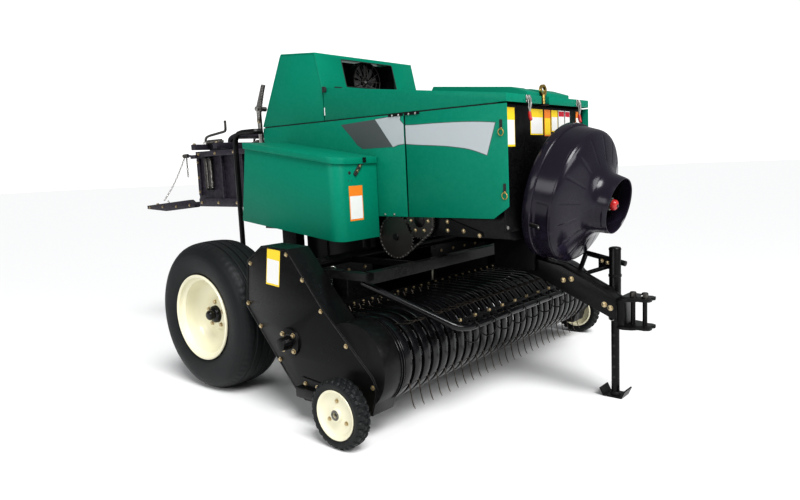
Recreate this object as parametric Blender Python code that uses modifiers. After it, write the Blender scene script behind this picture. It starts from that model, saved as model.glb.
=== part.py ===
# A towed square baler, parked on its jack: metres, +X towards the hitch, +Y to the left,
# +Z up, with the origin on the floor under the middle of the bounding box.
import math

import bmesh
import bpy
from mathutils import Matrix, Vector

# Running gear
AXLE_X = -0.150
WHEEL_Y = 0.829
TYRE_R = 0.381
TYRE_HALF_WIDTH = 0.1325
RIM_R = 0.2205
GAUGE_X = 0.948
GAUGE_Y = 1.053
GAUGE_R = 0.143
WHEEL_STEPS = 24
GAUGE_STEPS = 16

# Frame, tongue and jack
RAIL_Y = (0.285, 0.345)
RAIL_Z = (0.770, 0.884)
TONGUE_HALF_WIDTH = 0.050
JACK_X = 1.605
JACK_Y = 0.085

# Body panels
SHEET = 0.006
BODY_HALF_WIDTH = 0.390
BODY_BOTTOM = 0.862
BODY_TOP = 1.346
DOOR_SPLIT_X = 0.787
BODY_REAR_X = -0.260
BODY_FRONT_X = 1.342
COVER_REAR = Vector((0.250, 0.0, 1.520))
COVER_FRONT_Z = 1.387
COVER_BOTTOM_Z = 1.352
LIFTING_EYE = Vector((1.330, -0.055, 1.415))
HOOD_OUTLINE = [(-0.260, 1.352), (-0.067, 1.729), (0.201, 1.703), (0.243, 1.520), (0.243, 1.352)]
FAN_CENTRE = Vector((0.130, 0.040, 1.585))
FAN_R = 0.098

# Bale chamber
CHAMBER_REAR_X = -1.165
CHAMBER_FRONT_X = 1.000
CHAMBER_HALF_WIDTH = 0.256
CHAMBER_WALL = 0.012
CHAMBER_FLOOR_Z = 0.888
CHAMBER_TOP_Z = 1.250
CHUTE_END_X = -1.815

# Twine box, seen from the side and in plan
TWINE_BOX_OUTLINE = [(-0.064, 1.247), (0.597, 1.146), (0.601, 0.760), (-0.129, 0.850)]
TWINE_BOX_Y = (0.395, 0.670)
TWINE_BOX_X = (-0.140, 0.601)
TWINE_CORNER_R = 0.060
LID_GAP = 0.005

# Flywheel shield, about an axis that dips towards the hitch
SHIELD_CENTRE = Vector((1.370, 0.0, 0.962))
SHIELD_DIP = math.radians(14.0)
SHIELD_LENGTH = 0.300
SHIELD_R = 0.315
SPROCKET = (0.840, 0.842)
SPROCKET_R = 0.088

# Pickup
PIVOT = Vector((0.450, 0.0, 0.660))
REEL = Vector((0.920, 0.0, 0.300))
REEL_ARMS_Y = (-0.805, 0.0, 0.805)
REEL_PHASE = -14.0
BAND_R = 0.185
BAND_COUNT = 27
BAND_WIDTH = 0.044
BAND_SPAN = 1.600
AUGER = Vector((0.550, 0.0, 0.354))
AUGER_R = 0.098
SIDE_Y = (0.830, 0.955)
DRUM_END_R = 0.184
SIDE_OUTLINE = [
    (0.387, 0.775), (0.567, 0.768), (0.765, 0.537), (1.043, 0.277), (1.067, 0.229),
    (1.030, 0.115), (0.620, 0.100), (0.550, 0.150), (0.245, 0.483), (0.275, 0.703),
]
GUARD_PIVOT = Vector((0.830, 0.0, 0.610))
GUARD_TUBE = Vector((1.240, 0.0, 0.420))
GUARD_HALF_WIDTH = 0.620

# Colour (linear), roughness and metallic value of each finish
FINISHES = {
    "green": ((0.000, 0.200, 0.115), 0.35, 0.0),
    "black": ((0.010, 0.010, 0.011), 0.35, 0.0),
    "grey": ((0.045, 0.042, 0.050), 0.50, 0.0),
    "plum": ((0.040, 0.034, 0.048), 0.25, 0.0),
    "cream": ((0.780, 0.740, 0.560), 0.40, 0.0),
    "rubber": ((0.015, 0.018, 0.021), 0.75, 0.0),
    "steel": ((0.420, 0.420, 0.440), 0.35, 0.9),
}


def clear_scene():
    for old in list(bpy.data.objects):
        bpy.data.objects.remove(old, do_unlink=True)


def new_collection(name):
    made = bpy.data.collections.new(name)
    bpy.context.scene.collection.children.link(made)
    return made


clear_scene()
PARTS = new_collection("square_baler")
CUTTERS = new_collection("cutters")


def move_to(obj, collection):
    for old in list(obj.users_collection):
        old.objects.unlink(obj)
    collection.objects.link(obj)


def node(obj, name, finish):
    """Makes the object a named sub-part with a material of its own."""
    move_to(obj, PARTS)
    obj.name = name
    color, roughness, metallic = FINISHES[finish]
    material = bpy.data.materials.new(name)
    material.use_nodes = True
    shader = material.node_tree.nodes["Principled BSDF"]
    shader.inputs["Base Color"].default_value = (*color, 1.0)
    shader.inputs["Roughness"].default_value = roughness
    shader.inputs["Metallic"].default_value = metallic
    obj.data.materials.clear()
    obj.data.materials.append(material)
    return obj


def tool(obj):
    """Makes the object a helper for a Boolean."""
    move_to(obj, CUTTERS)
    obj.hide_render = True
    obj.display_type = "WIRE"
    return obj


def combine(base, others, operation):
    for other in others:
        step = base.modifiers.new(operation.title(), "BOOLEAN")
        step.operation = operation
        step.solver = "EXACT"
        step.object = tool(other)
    return base


def union(base, *others):
    return combine(base, others, "UNION")


def cut(base, *others):
    return combine(base, others, "DIFFERENCE")


def common(base, *others):
    return combine(base, others, "INTERSECT")


def from_bmesh(shape, location=(0, 0, 0)):
    mesh = bpy.data.meshes.new("shape")
    shape.to_mesh(mesh)
    shape.free()
    obj = bpy.data.objects.new("shape", mesh)
    obj.location = location
    PARTS.objects.link(obj)
    return obj


def box(low, high):
    """A box between two corners, with its origin at its centre."""
    low, high = Vector(low), Vector(high)
    shape = bmesh.new()
    bmesh.ops.create_cube(shape, size=1.0, matrix=Matrix.Diagonal((*(high - low), 1.0)))
    return from_bmesh(shape, (low + high) / 2)


def rod(start, end, radius, sides=16):
    """A straight round bar between two points."""
    start, end = Vector(start), Vector(end)
    along = end - start
    shape = bmesh.new()
    bmesh.ops.create_cone(shape, cap_ends=True, segments=sides, radius1=radius, radius2=radius,
                          depth=along.length)
    obj = from_bmesh(shape, (start + end) / 2)
    obj.rotation_euler = along.to_track_quat("Z", "Y").to_euler()
    smooth(obj)
    return obj


def smooth(obj):
    obj.data.shade_smooth()
    obj.data.set_sharp_from_angle(angle=math.radians(40))
    return obj


def baked(curve_object):
    """The curve object's evaluated shape as a mesh object, with its caps welded."""
    bpy.context.view_layer.update()
    evaluated = curve_object.evaluated_get(bpy.context.evaluated_depsgraph_get())
    mesh = bpy.data.meshes.new_from_object(evaluated)
    shape = bmesh.new()
    shape.from_mesh(mesh)
    bmesh.ops.remove_doubles(shape, verts=shape.verts, dist=1e-5)
    bmesh.ops.recalc_face_normals(shape, faces=shape.faces)
    shape.to_mesh(mesh)
    shape.free()
    obj = bpy.data.objects.new("shape", mesh)
    obj.matrix_world = curve_object.matrix_world.copy()
    PARTS.objects.link(obj)
    bpy.data.objects.remove(curve_object, do_unlink=True)
    return obj


def curve_object(points, dimensions, cyclic):
    curve = bpy.data.curves.new("shape", "CURVE")
    curve.dimensions = dimensions
    spline = curve.splines.new("POLY")
    spline.points.add(len(points) - 1)
    for place, point in zip(spline.points, points):
        place.co = (*point, *([0.0] * (3 - len(point))), 1.0)
    spline.use_cyclic_u = cyclic
    obj = bpy.data.objects.new("shape", curve)
    PARTS.objects.link(obj)
    return obj


def outline_plate(outline, low, high, upright=True):
    """A flat outline given thickness. Upright, it lies in XZ between two Y values;
    otherwise it lies in XY between two Z values."""
    obj = curve_object(outline, "2D", True)
    obj.data.fill_mode = "BOTH"
    obj.data.extrude = abs(high - low) / 2
    middle = (low + high) / 2
    if upright:
        obj.rotation_euler = (math.radians(90), 0, 0)
        obj.location = (0, middle, 0)
    else:
        obj.location = (0, 0, middle)
    return baked(obj)


def rounded(points, radius, steps=4):
    """The open path with each inner corner turned into a smooth bend."""
    points = [Vector(point) for point in points]
    path = [points[0]]
    for before, corner, after in zip(points, points[1:], points[2:]):
        reach = min(radius, (corner - before).length * 0.48, (after - corner).length * 0.48)
        enter = corner + (before - corner).normalized() * reach
        leave = corner + (after - corner).normalized() * reach
        for i in range(steps + 1):
            t = i / steps
            path.append((1 - t) ** 2 * enter + 2 * t * (1 - t) * corner + t * t * leave)
    return path + [points[-1]]


def tube(points, radius, bend=0.06, sides_level=2):
    """A bent round tube along the points."""
    obj = curve_object(rounded(points, bend), "3D", False)
    obj.data.bevel_depth = radius
    obj.data.bevel_resolution = sides_level
    obj.data.use_fill_caps = True
    return smooth(baked(obj))


def arc(centre, radius, start, end, steps):
    """Points of an arc in a plane, from one angle to another in degrees."""
    angles = [math.radians(start + (end - start) * i / steps) for i in range(steps + 1)]
    return [(centre[0] + radius * math.cos(a), centre[1] + radius * math.sin(a)) for a in angles]


def turned(profile, steps, closed=True):
    """A profile of (radius, height) pairs turned about the local Z axis. It runs clockwise, with
    radius to the right and height up. A profile that isn't closed starts and ends on the axis."""
    shape = bmesh.new()
    corners = [shape.verts.new((radius, 0, height)) for radius, height in profile]
    for first, second in zip(corners, corners[1:]):
        shape.edges.new((first, second))
    if closed:
        shape.edges.new((corners[-1], corners[0]))
    obj = from_bmesh(shape)
    screw = obj.modifiers.new("Turn", "SCREW")
    screw.axis = "Z"
    screw.steps = screw.render_steps = steps
    screw.use_merge_vertices = True
    screw.merge_threshold = 1e-4
    screw.use_smooth_shade = True
    return obj


def point_along(obj, location, direction):
    """Places a turned shape with its local Z along the direction."""
    obj.location = location
    obj.rotation_euler = Vector(direction).to_track_quat("Z", "Y").to_euler()
    return obj


def side_name(side):
    return "right" if side < 0 else "left"


def across(side, pair):
    """The pair of distances from the centre line as low and high Y on that side."""
    return tuple(sorted(side * value for value in pair))


def side_box(side, x, y, z):
    low_y, high_y = across(side, y)
    return box((x[0], low_y, z[0]), (x[1], high_y, z[1]))


def beam_across(x, half_width, z):
    return box((x[0], -half_width, z[0]), (x[1], half_width, z[1]))


# ---- frame and running gear

def main_frame():
    rails = [side_box(side, (-0.360, 1.310), RAIL_Y, RAIL_Z) for side in (-1, 1)]
    front = beam_across((1.245, 1.310), RAIL_Y[0] + 0.01, (0.760, 0.880))
    middle = beam_across((0.800, 0.860), RAIL_Y[0] + 0.01, (0.780, 0.840))
    rear = beam_across((-0.220, -0.080), RAIL_Y[0] + 0.01, (0.780, 0.880))
    cheeks = [side_box(side, (1.060, 1.280), (0.058, 0.074), (0.590, 0.780)) for side in (-1, 1)]
    saddle = beam_across((1.130, 1.260), 0.070, (0.745, 0.775))
    lugs = [side_box(side, (0.420, 0.480), (0.295, 0.335), (0.692, 0.780)) for side in (-1, 1)]
    return node(union(rails[0], front, middle, rear, rails[1], saddle, *cheeks, *lugs),
                "main_frame", "black")


def axle_beam():
    beam = beam_across((AXLE_X - 0.045, AXLE_X + 0.045), 0.620, (TYRE_R - 0.045, TYRE_R + 0.045))
    legs = [side_box(side, (AXLE_X - 0.060, AXLE_X + 0.060), RAIL_Y, (0.400, RAIL_Z[0] - 0.0004))
            for side in (-1, 1)]
    stubs = [rod((AXLE_X, side * 0.600, TYRE_R), (AXLE_X, side * (WHEEL_Y + 0.030), TYRE_R), 0.025)
             for side in (-1, 1)]
    return node(union(beam, *legs, *stubs), "axle_beam", "black")


def main_wheel(side):
    w = TYRE_HALF_WIDTH
    tyre = turned([
        (0.205, 0.108), (0.240, 0.126), (0.300, w), (0.345, 0.126), (0.373, 0.100), (TYRE_R, 0.055),
        (TYRE_R, -0.055), (0.373, -0.100), (0.345, -0.126), (0.300, -w), (0.240, -0.126),
        (0.205, -0.108),
    ], WHEEL_STEPS)
    rim = turned([
        (0, 0.085), (0.032, 0.085), (0.036, 0.030), (0.075, 0.030), (0.080, 0.016), (0.150, 0.012),
        (0.196, 0.040), (0.196, 0.117), (0.212, 0.129), (RIM_R, 0.129), (RIM_R, 0.117),
        (0.2045, 0.117), (0.2045, -0.117), (RIM_R, -0.117), (RIM_R, -0.129), (0.212, -0.129),
        (0.196, -0.117), (0.196, 0.030), (0.150, 0.004), (0.060, 0.004), (0.060, -0.060),
        (0.029, -0.060), (0.029, 0.040), (0, 0.040),
    ], WHEEL_STEPS, closed=False)
    for obj, name, finish in ((tyre, "tyre", "rubber"), (rim, "rim", "cream")):
        point_along(obj, (AXLE_X, side * WHEEL_Y, TYRE_R), (0, side, 0))
        node(obj, f"main_{name}_{side_name(side)}", finish)


def tongue():
    outline = [(1.070, 0.690), (1.330, 0.630), (1.405, 0.616), (1.601, 0.522), (1.668, 0.475),
               (1.668, 0.388), (1.446, 0.485), (1.290, 0.556), (1.070, 0.615)]
    return node(outline_plate(outline, -TONGUE_HALF_WIDTH, TONGUE_HALF_WIDTH), "tongue", "black")


def hitch_clevis():
    block = box((1.6685, -0.050, 0.365), (1.700, 0.050, 0.492))
    right_edge = [(1.675, -0.070), (1.705, -0.078), (1.742, -0.068), (1.762, -0.050),
                  (1.790, -0.052), (1.808, -0.040), (1.812, -0.018)]
    plate = [*right_edge, (1.800, 0.0), *[(x, -y) for x, y in right_edge[::-1]]]
    plates = [outline_plate(plate, z, z + 0.012, upright=False) for z in (0.360, 0.484)]
    pins = [rod((x, 0, 0.366), (x, 0, 0.504), 0.010, 12) for x in (1.722, 1.774)]
    return node(union(block, *plates, *pins), "hitch_clevis", "black")


def jack():
    barrel = rod((JACK_X, JACK_Y, 0.360), (JACK_X, JACK_Y, 0.685), 0.0265, 20)
    beside_tongue = TONGUE_HALF_WIDTH + 0.0005
    clamp = box((JACK_X - 0.060, beside_tongue, 0.430), (JACK_X + 0.010, JACK_Y, 0.520))
    plate = box((JACK_X - 0.090, JACK_Y + 0.0235, 0.590), (JACK_X, JACK_Y + 0.034, 0.648))
    foot_plate = box((1.410, beside_tongue, 0.545), (1.475, 0.068, 0.585))
    upper_bar = rod((JACK_X + 0.035, 0.1225, 0.617), (1.425, 0.150, 0.655), 0.013, 12)
    lower_bar = rod((JACK_X - 0.037, 0.113, 0.603), (1.459, 0.061, 0.565), 0.010, 12)
    stay = rod((1.436, 0.145, 0.650), (1.436, 0.0625, 0.561), 0.0115, 10)
    bore = rod((JACK_X, JACK_Y, 0.300), (JACK_X, JACK_Y, 0.668), 0.0215, 20)
    housing = union(barrel, clamp, plate, upper_bar, stay, lower_bar, foot_plate)
    node(cut(housing, bore), "jack_housing", "black")

    leg = rod((JACK_X, JACK_Y, 0.004), (JACK_X, JACK_Y, 0.412), 0.0185, 20)
    foot_outline = [(JACK_X - 0.062, 0.036), (JACK_X - 0.045, 0.0), (JACK_X + 0.045, 0.0),
                    (JACK_X + 0.062, 0.036), (JACK_X + 0.056, 0.039), (JACK_X + 0.040, 0.008),
                    (JACK_X - 0.040, 0.008), (JACK_X - 0.056, 0.039)]
    foot = outline_plate(foot_outline, JACK_Y - 0.042, JACK_Y + 0.042)
    node(union(leg, foot), "jack_leg", "black")


# ---- bale chamber and what stands on it

def bale_chamber():
    inner = CHAMBER_HALF_WIDTH - CHAMBER_WALL
    floor = beam_across((CHAMBER_REAR_X, CHAMBER_FRONT_X), inner - 0.0005,
                        (CHAMBER_FLOOR_Z, CHAMBER_FLOOR_Z + 0.012))
    feed_slot = beam_across((0.110, 0.370), 0.200, (0.8, 1.0))
    node(cut(floor, feed_slot), "chamber_floor", "grey")
    for side in (-1, 1):
        wall = side_box(side, (CHAMBER_REAR_X, CHAMBER_FRONT_X), (inner, CHAMBER_HALF_WIDTH),
                        (CHAMBER_FLOOR_Z, CHAMBER_TOP_Z))
        ribs = [side_box(side, (-1.120, -0.300), (CHAMBER_HALF_WIDTH - 0.004, 0.290), z)
                for z in ((0.888, 0.940), (1.215, 1.2495))]
        node(union(wall, *ribs), f"chamber_side_{side_name(side)}", "grey")

    plate = beam_across((-0.620, 0.200), CHAMBER_HALF_WIDTH, (1.2505, 1.2625))
    rails = [side_box(side, (-1.120, -0.600), (0.130, 0.180), (1.2505, 1.284)) for side in (-1, 1)]
    bars = [beam_across((x, x + 0.045), 0.300, (1.262, 1.298)) for x in (-1.150, -0.900)]
    node(union(plate, *bars, *rails), "chamber_top", "grey")


def density_crank(side):
    y = side * 0.200
    path = [(-1.128, y, 1.2985), (-1.128, y, 1.340), (-1.090, y, 1.352), (-0.893, y, 1.372),
            (-0.893, y, 1.440)]
    node(tube(path, 0.008, 0.02), f"density_crank_{side_name(side)}", "steel")


def rear_pipe():
    path = [(-1.130, 0, 1.2985), (-1.130, 0, 1.330), (-1.080, 0, 1.352), (-0.820, 0, 1.340),
            (-0.350, 0, 1.320)]
    node(tube(path, 0.020, 0.05), "rear_pipe", "grey")


def bale_chute():
    rails = []
    for side in (-1, 1):
        low_y, high_y = across(side, (0.246, 0.286))
        outline = [(-1.212, 0.903), (-1.192, 0.903), (-1.192, 0.880), (-1.560, 0.850),
                   (CHUTE_END_X, 0.862), (CHUTE_END_X, 0.886), (-1.560, 0.905), (-1.260, 0.930)]
        rails.append(outline_plate(outline, low_y, high_y))
    bars = [beam_across((x, x + 0.040), 0.270, (z, z + 0.016))
            for x, z in ((-1.225, 0.884), (-1.420, 0.872), (-1.600, 0.864), (-1.800, 0.864))]
    slats = [box((-1.790, y - 0.020, 0.874), (-1.200, y + 0.020, 0.886)) for y in (-0.110, 0.110)]
    node(union(rails[0], *bars, rails[1], *slats), "bale_chute", "grey")


def knotter_hood():
    outer = outline_plate(HOOD_OUTLINE, -BODY_HALF_WIDTH, BODY_HALF_WIDTH)
    inside = [(-0.320, 1.300), (-0.120, 1.7290), (0.196, 1.6985), (0.238, 1.518), (0.238, 1.300)]
    hollow = outline_plate(inside, -BODY_HALF_WIDTH + SHEET, BODY_HALF_WIDTH - SHEET)
    window = box((0.150, -0.205, 1.535), (0.300, 0.205, 1.683))
    node(cut(outer, hollow, window), "knotter_hood", "green")


def knotter_stack():
    shaft = rod((-0.020, -0.320, 1.440), (-0.020, 0.320, 1.440), 0.020)
    frames = []
    for y in (-0.120, 0.120):
        frames.append(box((-0.090, y - 0.030, 1.2630), (0.050, y + 0.030, 1.500)))
        frames.append(rod((-0.020, y + 0.045, 1.440), (-0.020, y + 0.065, 1.440), 0.110, 20))
    posts = [side_box(side, (-0.050, 0.010), (0.235, 0.250), (1.2630, 1.480)) for side in (-1, 1)]
    node(union(shaft, *frames, *posts), "knotter_stack", "grey")


def fan():
    centre, ring_r = FAN_CENTRE, FAN_R + 0.014
    ring = turned([(ring_r, 0.030), (ring_r, -0.030), (ring_r - 0.006, -0.030),
                   (ring_r - 0.006, 0.030)], 24)
    point_along(ring, centre, (1, 0, 0))
    spokes = [rod(centre + Vector((-0.026, 0, 0)),
                  centre + Vector((-0.026, math.cos(a) * 0.108, math.sin(a) * 0.108)), 0.005, 8)
              for a in (math.radians(30), math.radians(150), math.radians(270))]
    post = box((0.104, 0.025, 1.2630), (0.156, 0.055, centre.z - ring_r + 0.003))
    node(union(ring, *spokes, post), "fan_shroud", "black")

    hub = rod(centre + Vector((-0.012, 0, 0)), centre + Vector((0.016, 0, 0)), 0.024)
    blades = []
    for i in range(8):
        shape = bmesh.new()
        size = Matrix.Diagonal((0.003, 0.036, FAN_R - 0.018, 1.0))
        bmesh.ops.create_cube(shape, size=1.0, matrix=size)
        blade = from_bmesh(shape)
        turn = Matrix.Rotation(math.radians(45) * i, 4, "X")
        lift = Matrix.Translation((0, 0, 0.018 + (FAN_R - 0.018) / 2))
        twist = Matrix.Rotation(math.radians(28), 4, "Z")
        blade.matrix_world = Matrix.Translation(centre) @ turn @ lift @ twist
        blades.append(blade)
    node(union(hub, *blades), "fan_rotor", "black")


def trip_arm():
    outline = [(-0.415, 1.2630), (-0.385, 1.2630), (-0.392, 1.470), (-0.335, 1.600), (-0.360, 1.606),
               (-0.422, 1.480)]
    arm = outline_plate(outline, -0.306, -0.294)
    foot = box((-0.415, -0.306, 1.2630), (-0.340, -0.200, 1.271))
    pivot = rod((-0.405, -0.320, 1.470), (-0.405, -0.250, 1.470), 0.014, 12)
    node(union(arm, foot, pivot), "trip_arm", "steel")


def rear_guard_tube():
    path = [(-0.215, -0.450, TYRE_R), (-0.450, -0.450, 0.520), (-0.450, -0.450, 1.330),
            (-0.275, -0.450, 1.330), (-0.262, -0.400, 1.330)]
    node(tube(path, 0.015, 0.07), "rear_guard_tube", "black")


# ---- panels

def body_panels():
    y = (BODY_HALF_WIDTH - SHEET, BODY_HALF_WIDTH)
    door = [(DOOR_SPLIT_X + 0.005, BODY_BOTTOM), (1.265, BODY_BOTTOM), (BODY_FRONT_X, 0.915),
            (BODY_FRONT_X, BODY_TOP), (DOOR_SPLIT_X + 0.005, BODY_TOP)]
    for side in (-1, 1):
        panel = side_box(side, (BODY_REAR_X, DOOR_SPLIT_X - 0.005), y, (BODY_BOTTOM, BODY_TOP))
        node(panel, f"side_panel_{side_name(side)}", "green")
        node(outline_plate(door, *across(side, y)), f"side_door_{side_name(side)}", "green")

    front = beam_across((1.3105, 1.3165), 0.378, (0.800, BODY_TOP))
    hole = rod((1.250, 0, 0.962), (1.400, 0, 0.962), 0.060, 20)
    node(cut(front, hole), "front_panel", "black")


def top_cover(name, low_y, high_y, ridge_low, ridge_high):
    """A roof half: a tray turned down at its sides and front, with a raised strip inboard."""
    def tray(inset):
        x_front = BODY_FRONT_X - inset
        slope = (COVER_FRONT_Z - COVER_REAR.z) / (BODY_FRONT_X - COVER_REAR.x)
        rear_x = COVER_REAR.x - 4 * inset
        rear_z = COVER_REAR.z + slope * (rear_x - COVER_REAR.x) - inset
        front_z = COVER_FRONT_Z - inset
        low = COVER_BOTTOM_Z - 4 * inset
        outline = [(rear_x, low), (rear_x, rear_z), (x_front, front_z), (x_front, low)]
        return outline_plate(outline, low_y + inset, high_y - inset)

    def ridge(inset):
        outline = [(0.790 + inset, 1.430), (0.820 + inset, 1.476 - inset), (1.250, 1.431 - inset),
                   (1.330 - inset, 1.404 - inset), (1.330 - inset, 1.380)]
        return outline_plate(outline, ridge_low + inset, ridge_high - inset)

    node(cut(union(tray(0), ridge(0)), tray(SHEET), ridge(SHEET)), name, "green")


def lifting_spine():
    """A strap between the covers, stepped over the front panel, with an eye at its front end."""
    half = 0.030
    low_y, high_y = LIFTING_EYE.y - half, LIFTING_EYE.y + half
    strap = box((0.260, low_y, 1.318), (1.300, high_y, 1.348))
    nose = box((1.200, low_y, BODY_TOP + 0.0005), (1.345, high_y, BODY_TOP + 0.0075))
    shank = rod((LIFTING_EYE.x, LIFTING_EYE.y, BODY_TOP + 0.004),
                LIFTING_EYE - Vector((0, 0, 0.020)), 0.010, 12)
    eye = turned([(0.026, 0.006), (0.026, -0.006), (0.016, -0.006), (0.016, 0.006)], 20)
    point_along(eye, LIFTING_EYE, (1, 0, 0))
    node(union(strap, nose, shank, eye), "lifting_spine", "black")


def twine_box(side):
    def plan(inset, rear_x=TWINE_BOX_X[0]):
        """The box from above, with its outer front corner rounded; inset may be negative."""
        near, far = TWINE_BOX_Y[0] + inset, TWINE_BOX_Y[1] - inset
        front = TWINE_BOX_X[1] - inset
        radius = TWINE_CORNER_R - inset
        corner = arc((front - radius, far - radius), radius, 0, 90, 6)
        points = [(rear_x + inset, near), (front, near), *corner, (rear_x + inset, far)]
        return outline_plate([(x, side * y) for x, y in points], 0.70, 1.32, upright=False)

    def profile(top, bottom, rear, front):
        """The box from the side, with each edge moved outwards by the given amount."""
        (rear_top, front_top, front_low, rear_low) = TWINE_BOX_OUTLINE
        outline = [(rear_top[0] - rear, rear_top[1] + top), (front_top[0] + front, front_top[1] + top),
                   (front_low[0] + front, front_low[1] - bottom),
                   (rear_low[0] - rear, rear_low[1] - bottom)]
        return outline_plate(outline, *across(side, (0.300, 0.800)))

    wall = 0.004
    body = common(plan(0), profile(0, 0, 0, 0.01))
    hollow = common(plan(wall), profile(0.05, -wall, -wall, 0))
    node(cut(body, hollow), f"twine_box_{side_name(side)}", "green")

    def lid_layer(low, high, overhang):
        """A sloping slab between two heights over the box's rim."""
        rim_rear, rim_front = TWINE_BOX_OUTLINE[0], TWINE_BOX_OUTLINE[1]
        slope = (rim_front[1] - rim_rear[1]) / (rim_front[0] - rim_rear[0])
        rear_x, front_x = rim_rear[0] - overhang, TWINE_BOX_X[1] + overhang
        rear_z = rim_rear[1] + slope * (rear_x - rim_rear[0])
        front_z = rim_rear[1] + slope * (front_x - rim_rear[0])
        outline = [(rear_x, rear_z + low), (rear_x, rear_z + high), (front_x, front_z + high),
                   (front_x, front_z + low)]
        return outline_plate(outline, *across(side, (TWINE_BOX_Y[0] + 0.004, 0.800)))

    lip = LID_GAP + 0.004
    cover = common(plan(-lip, -0.2), lid_layer(-0.022, LID_GAP + 0.004, lip))
    under = common(plan(-LID_GAP, -0.2), lid_layer(-0.100, LID_GAP, LID_GAP))
    node(cut(cover, under), f"twine_lid_{side_name(side)}", "green")


# ---- driveline

def driveline():
    along = Vector((math.cos(SHIELD_DIP), 0, -math.sin(SHIELD_DIP)))
    outer = [(0.125, SHIELD_LENGTH), (0.131, 0.260), (0.141, 0.228), (0.168, 0.202), (0.215, 0.182),
             (0.265, 0.163), (0.292, 0.148), (0.303, 0.130), (0.307, 0.040), (SHIELD_R, 0.038),
             (SHIELD_R, 0.0)]
    inner = [(0.302, 0.0), (0.302, 0.040), (0.298, 0.128), (0.288, 0.143), (0.262, 0.157),
             (0.213, 0.176), (0.165, 0.197), (0.136, 0.224), (0.126, 0.258), (0.120, SHIELD_LENGTH)]
    shield = point_along(turned(outer + inner, 28), SHIELD_CENTRE, along)
    node(shield, "flywheel_shield", "plum")

    wheel = turned([(0, 0.268), (0.022, 0.268), (0.022, 0.235), (0.0175, 0.235), (0.0175, 0.110),
                    (0.235, 0.110), (0.245, 0.100), (0.245, 0.060), (0.050, 0.060), (0.030, 0.040),
                    (0.030, -0.080), (0, -0.080)], 20, closed=False)
    node(point_along(wheel, SHIELD_CENTRE, along), "flywheel", "steel")

    block = box((1.030, -0.120, RAIL_Z[1] + 0.0004), (1.262, 0.120, 1.170))
    shafts = rod((1.140, -0.235, 1.060), (1.140, 0.235, 1.060), 0.050, 20)
    node(union(block, shafts), "gearbox", "grey")


def drive_sprocket():
    x, z = SPROCKET
    disc = rod((x, -0.374, z), (x, -0.366, z), SPROCKET_R, 28)
    hub = rod((x, -0.378, z), (x, -0.3455, z), 0.030, 16)
    node(union(disc, hub), "drive_sprocket", "steel")


# ---- pickup

def feed_housing():
    outer = outline_plate([(0.400, 0.884), (0.060, 0.884), (0.060, 0.450), (0.200, 0.280),
                           (0.400, 0.280)], -0.262, 0.262)
    hollow = outline_plate([(0.450, 0.950), (0.066, 0.950), (0.066, 0.452), (0.203, 0.286),
                            (0.450, 0.286)], -0.256, 0.256)
    node(cut(outer, hollow), "feed_housing", "black")


def pickup_frame():
    pivot_tube = rod((PIVOT.x, -0.8295, PIVOT.z), (PIVOT.x, 0.8295, PIVOT.z), 0.026)
    beam = beam_across((0.880, 0.930), 0.800, (0.620, 0.668))
    arms = [side_box(side, (0.440, 0.910), (0.785, 0.8295), (0.632, 0.664)) for side in (-1, 1)]
    inner_arms = [side_box(side, (0.440, 0.900), (0.440, 0.470), (0.636, 0.662)) for side in (-1, 1)]
    node(union(pivot_tube, beam, *arms, *inner_arms), "pickup_frame", "black")


def pickup_side(side):
    outward = SIDE_Y[1]
    case = outline_plate(SIDE_OUTLINE, *across(side, SIDE_Y))
    flange = rod((AUGER.x, side * (outward - 0.01), AUGER.z), (AUGER.x, side * 0.968, AUGER.z),
                 0.065, 20)
    cap = rod((AUGER.x, side * 0.960, AUGER.z), (AUGER.x, side * 1.015, AUGER.z), 0.028)
    bracket = side_box(side, (0.600, 0.972), (outward - 0.01, 0.985), (0.122, 0.166))
    stub = rod((GAUGE_X, side * 0.975, GAUGE_R), (GAUGE_X, side * 1.070, GAUGE_R), 0.011, 12)
    drum_end = rod((REEL.x, side * SIDE_Y[0], REEL.z), (REEL.x, side * (outward - 0.004), REEL.z),
                   DRUM_END_R, 40)
    node(union(case, drum_end, flange, cap, bracket, stub), f"pickup_side_{side_name(side)}", "black")


def gauge_wheel(side):
    tyre = turned([(0.0985, 0.026), (0.118, 0.034), (0.134, 0.032), (GAUGE_R, 0.022),
                   (GAUGE_R, -0.022), (0.134, -0.032), (0.118, -0.034), (0.0985, -0.026)],
                  GAUGE_STEPS)
    rim = turned([(0.0135, 0.029), (0.030, 0.029), (0.032, 0.020), (0.070, 0.014), (0.092, 0.020),
                  (0.094, 0.034), (0.103, 0.0345), (0.098, 0.030), (0.098, -0.030), (0.094, -0.034),
                  (0.090, 0.008), (0.032, 0.006), (0.030, -0.029), (0.0135, -0.029)], GAUGE_STEPS)
    for obj, name, finish in ((tyre, "tyre", "rubber"), (rim, "rim", "cream")):
        point_along(obj, (GAUGE_X, side * GAUGE_Y, GAUGE_R), (0, side, 0))
        node(obj, f"gauge_{name}_{side_name(side)}", finish)


def pickup_bands():
    centre = (REEL.x, REEL.z)
    outer = arc(centre, BAND_R, 100, -100, 8)
    inner = arc(centre, BAND_R - 0.006, -100, 100, 8)
    outline = [(0.690, 0.486), *outer, (0.715, 0.092), (0.715, 0.098), *inner, (0.690, 0.480)]
    band = outline_plate(outline, -BAND_SPAN / 2 - BAND_WIDTH / 2, -BAND_SPAN / 2 + BAND_WIDTH / 2)
    row = band.modifiers.new("Row", "ARRAY")
    row.use_relative_offset = False
    row.use_constant_offset = True
    row.constant_offset_displace = (0, 0, -BAND_SPAN / (BAND_COUNT - 1))
    row.count = BAND_COUNT
    half = 0.8295
    cross = [beam_across((0.660, 0.700), half, (0.464, 0.496)),
             beam_across((0.690, 0.730), half, (0.086, 0.112))]
    node(union(band, *cross), "pickup_bands", "black")


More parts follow.
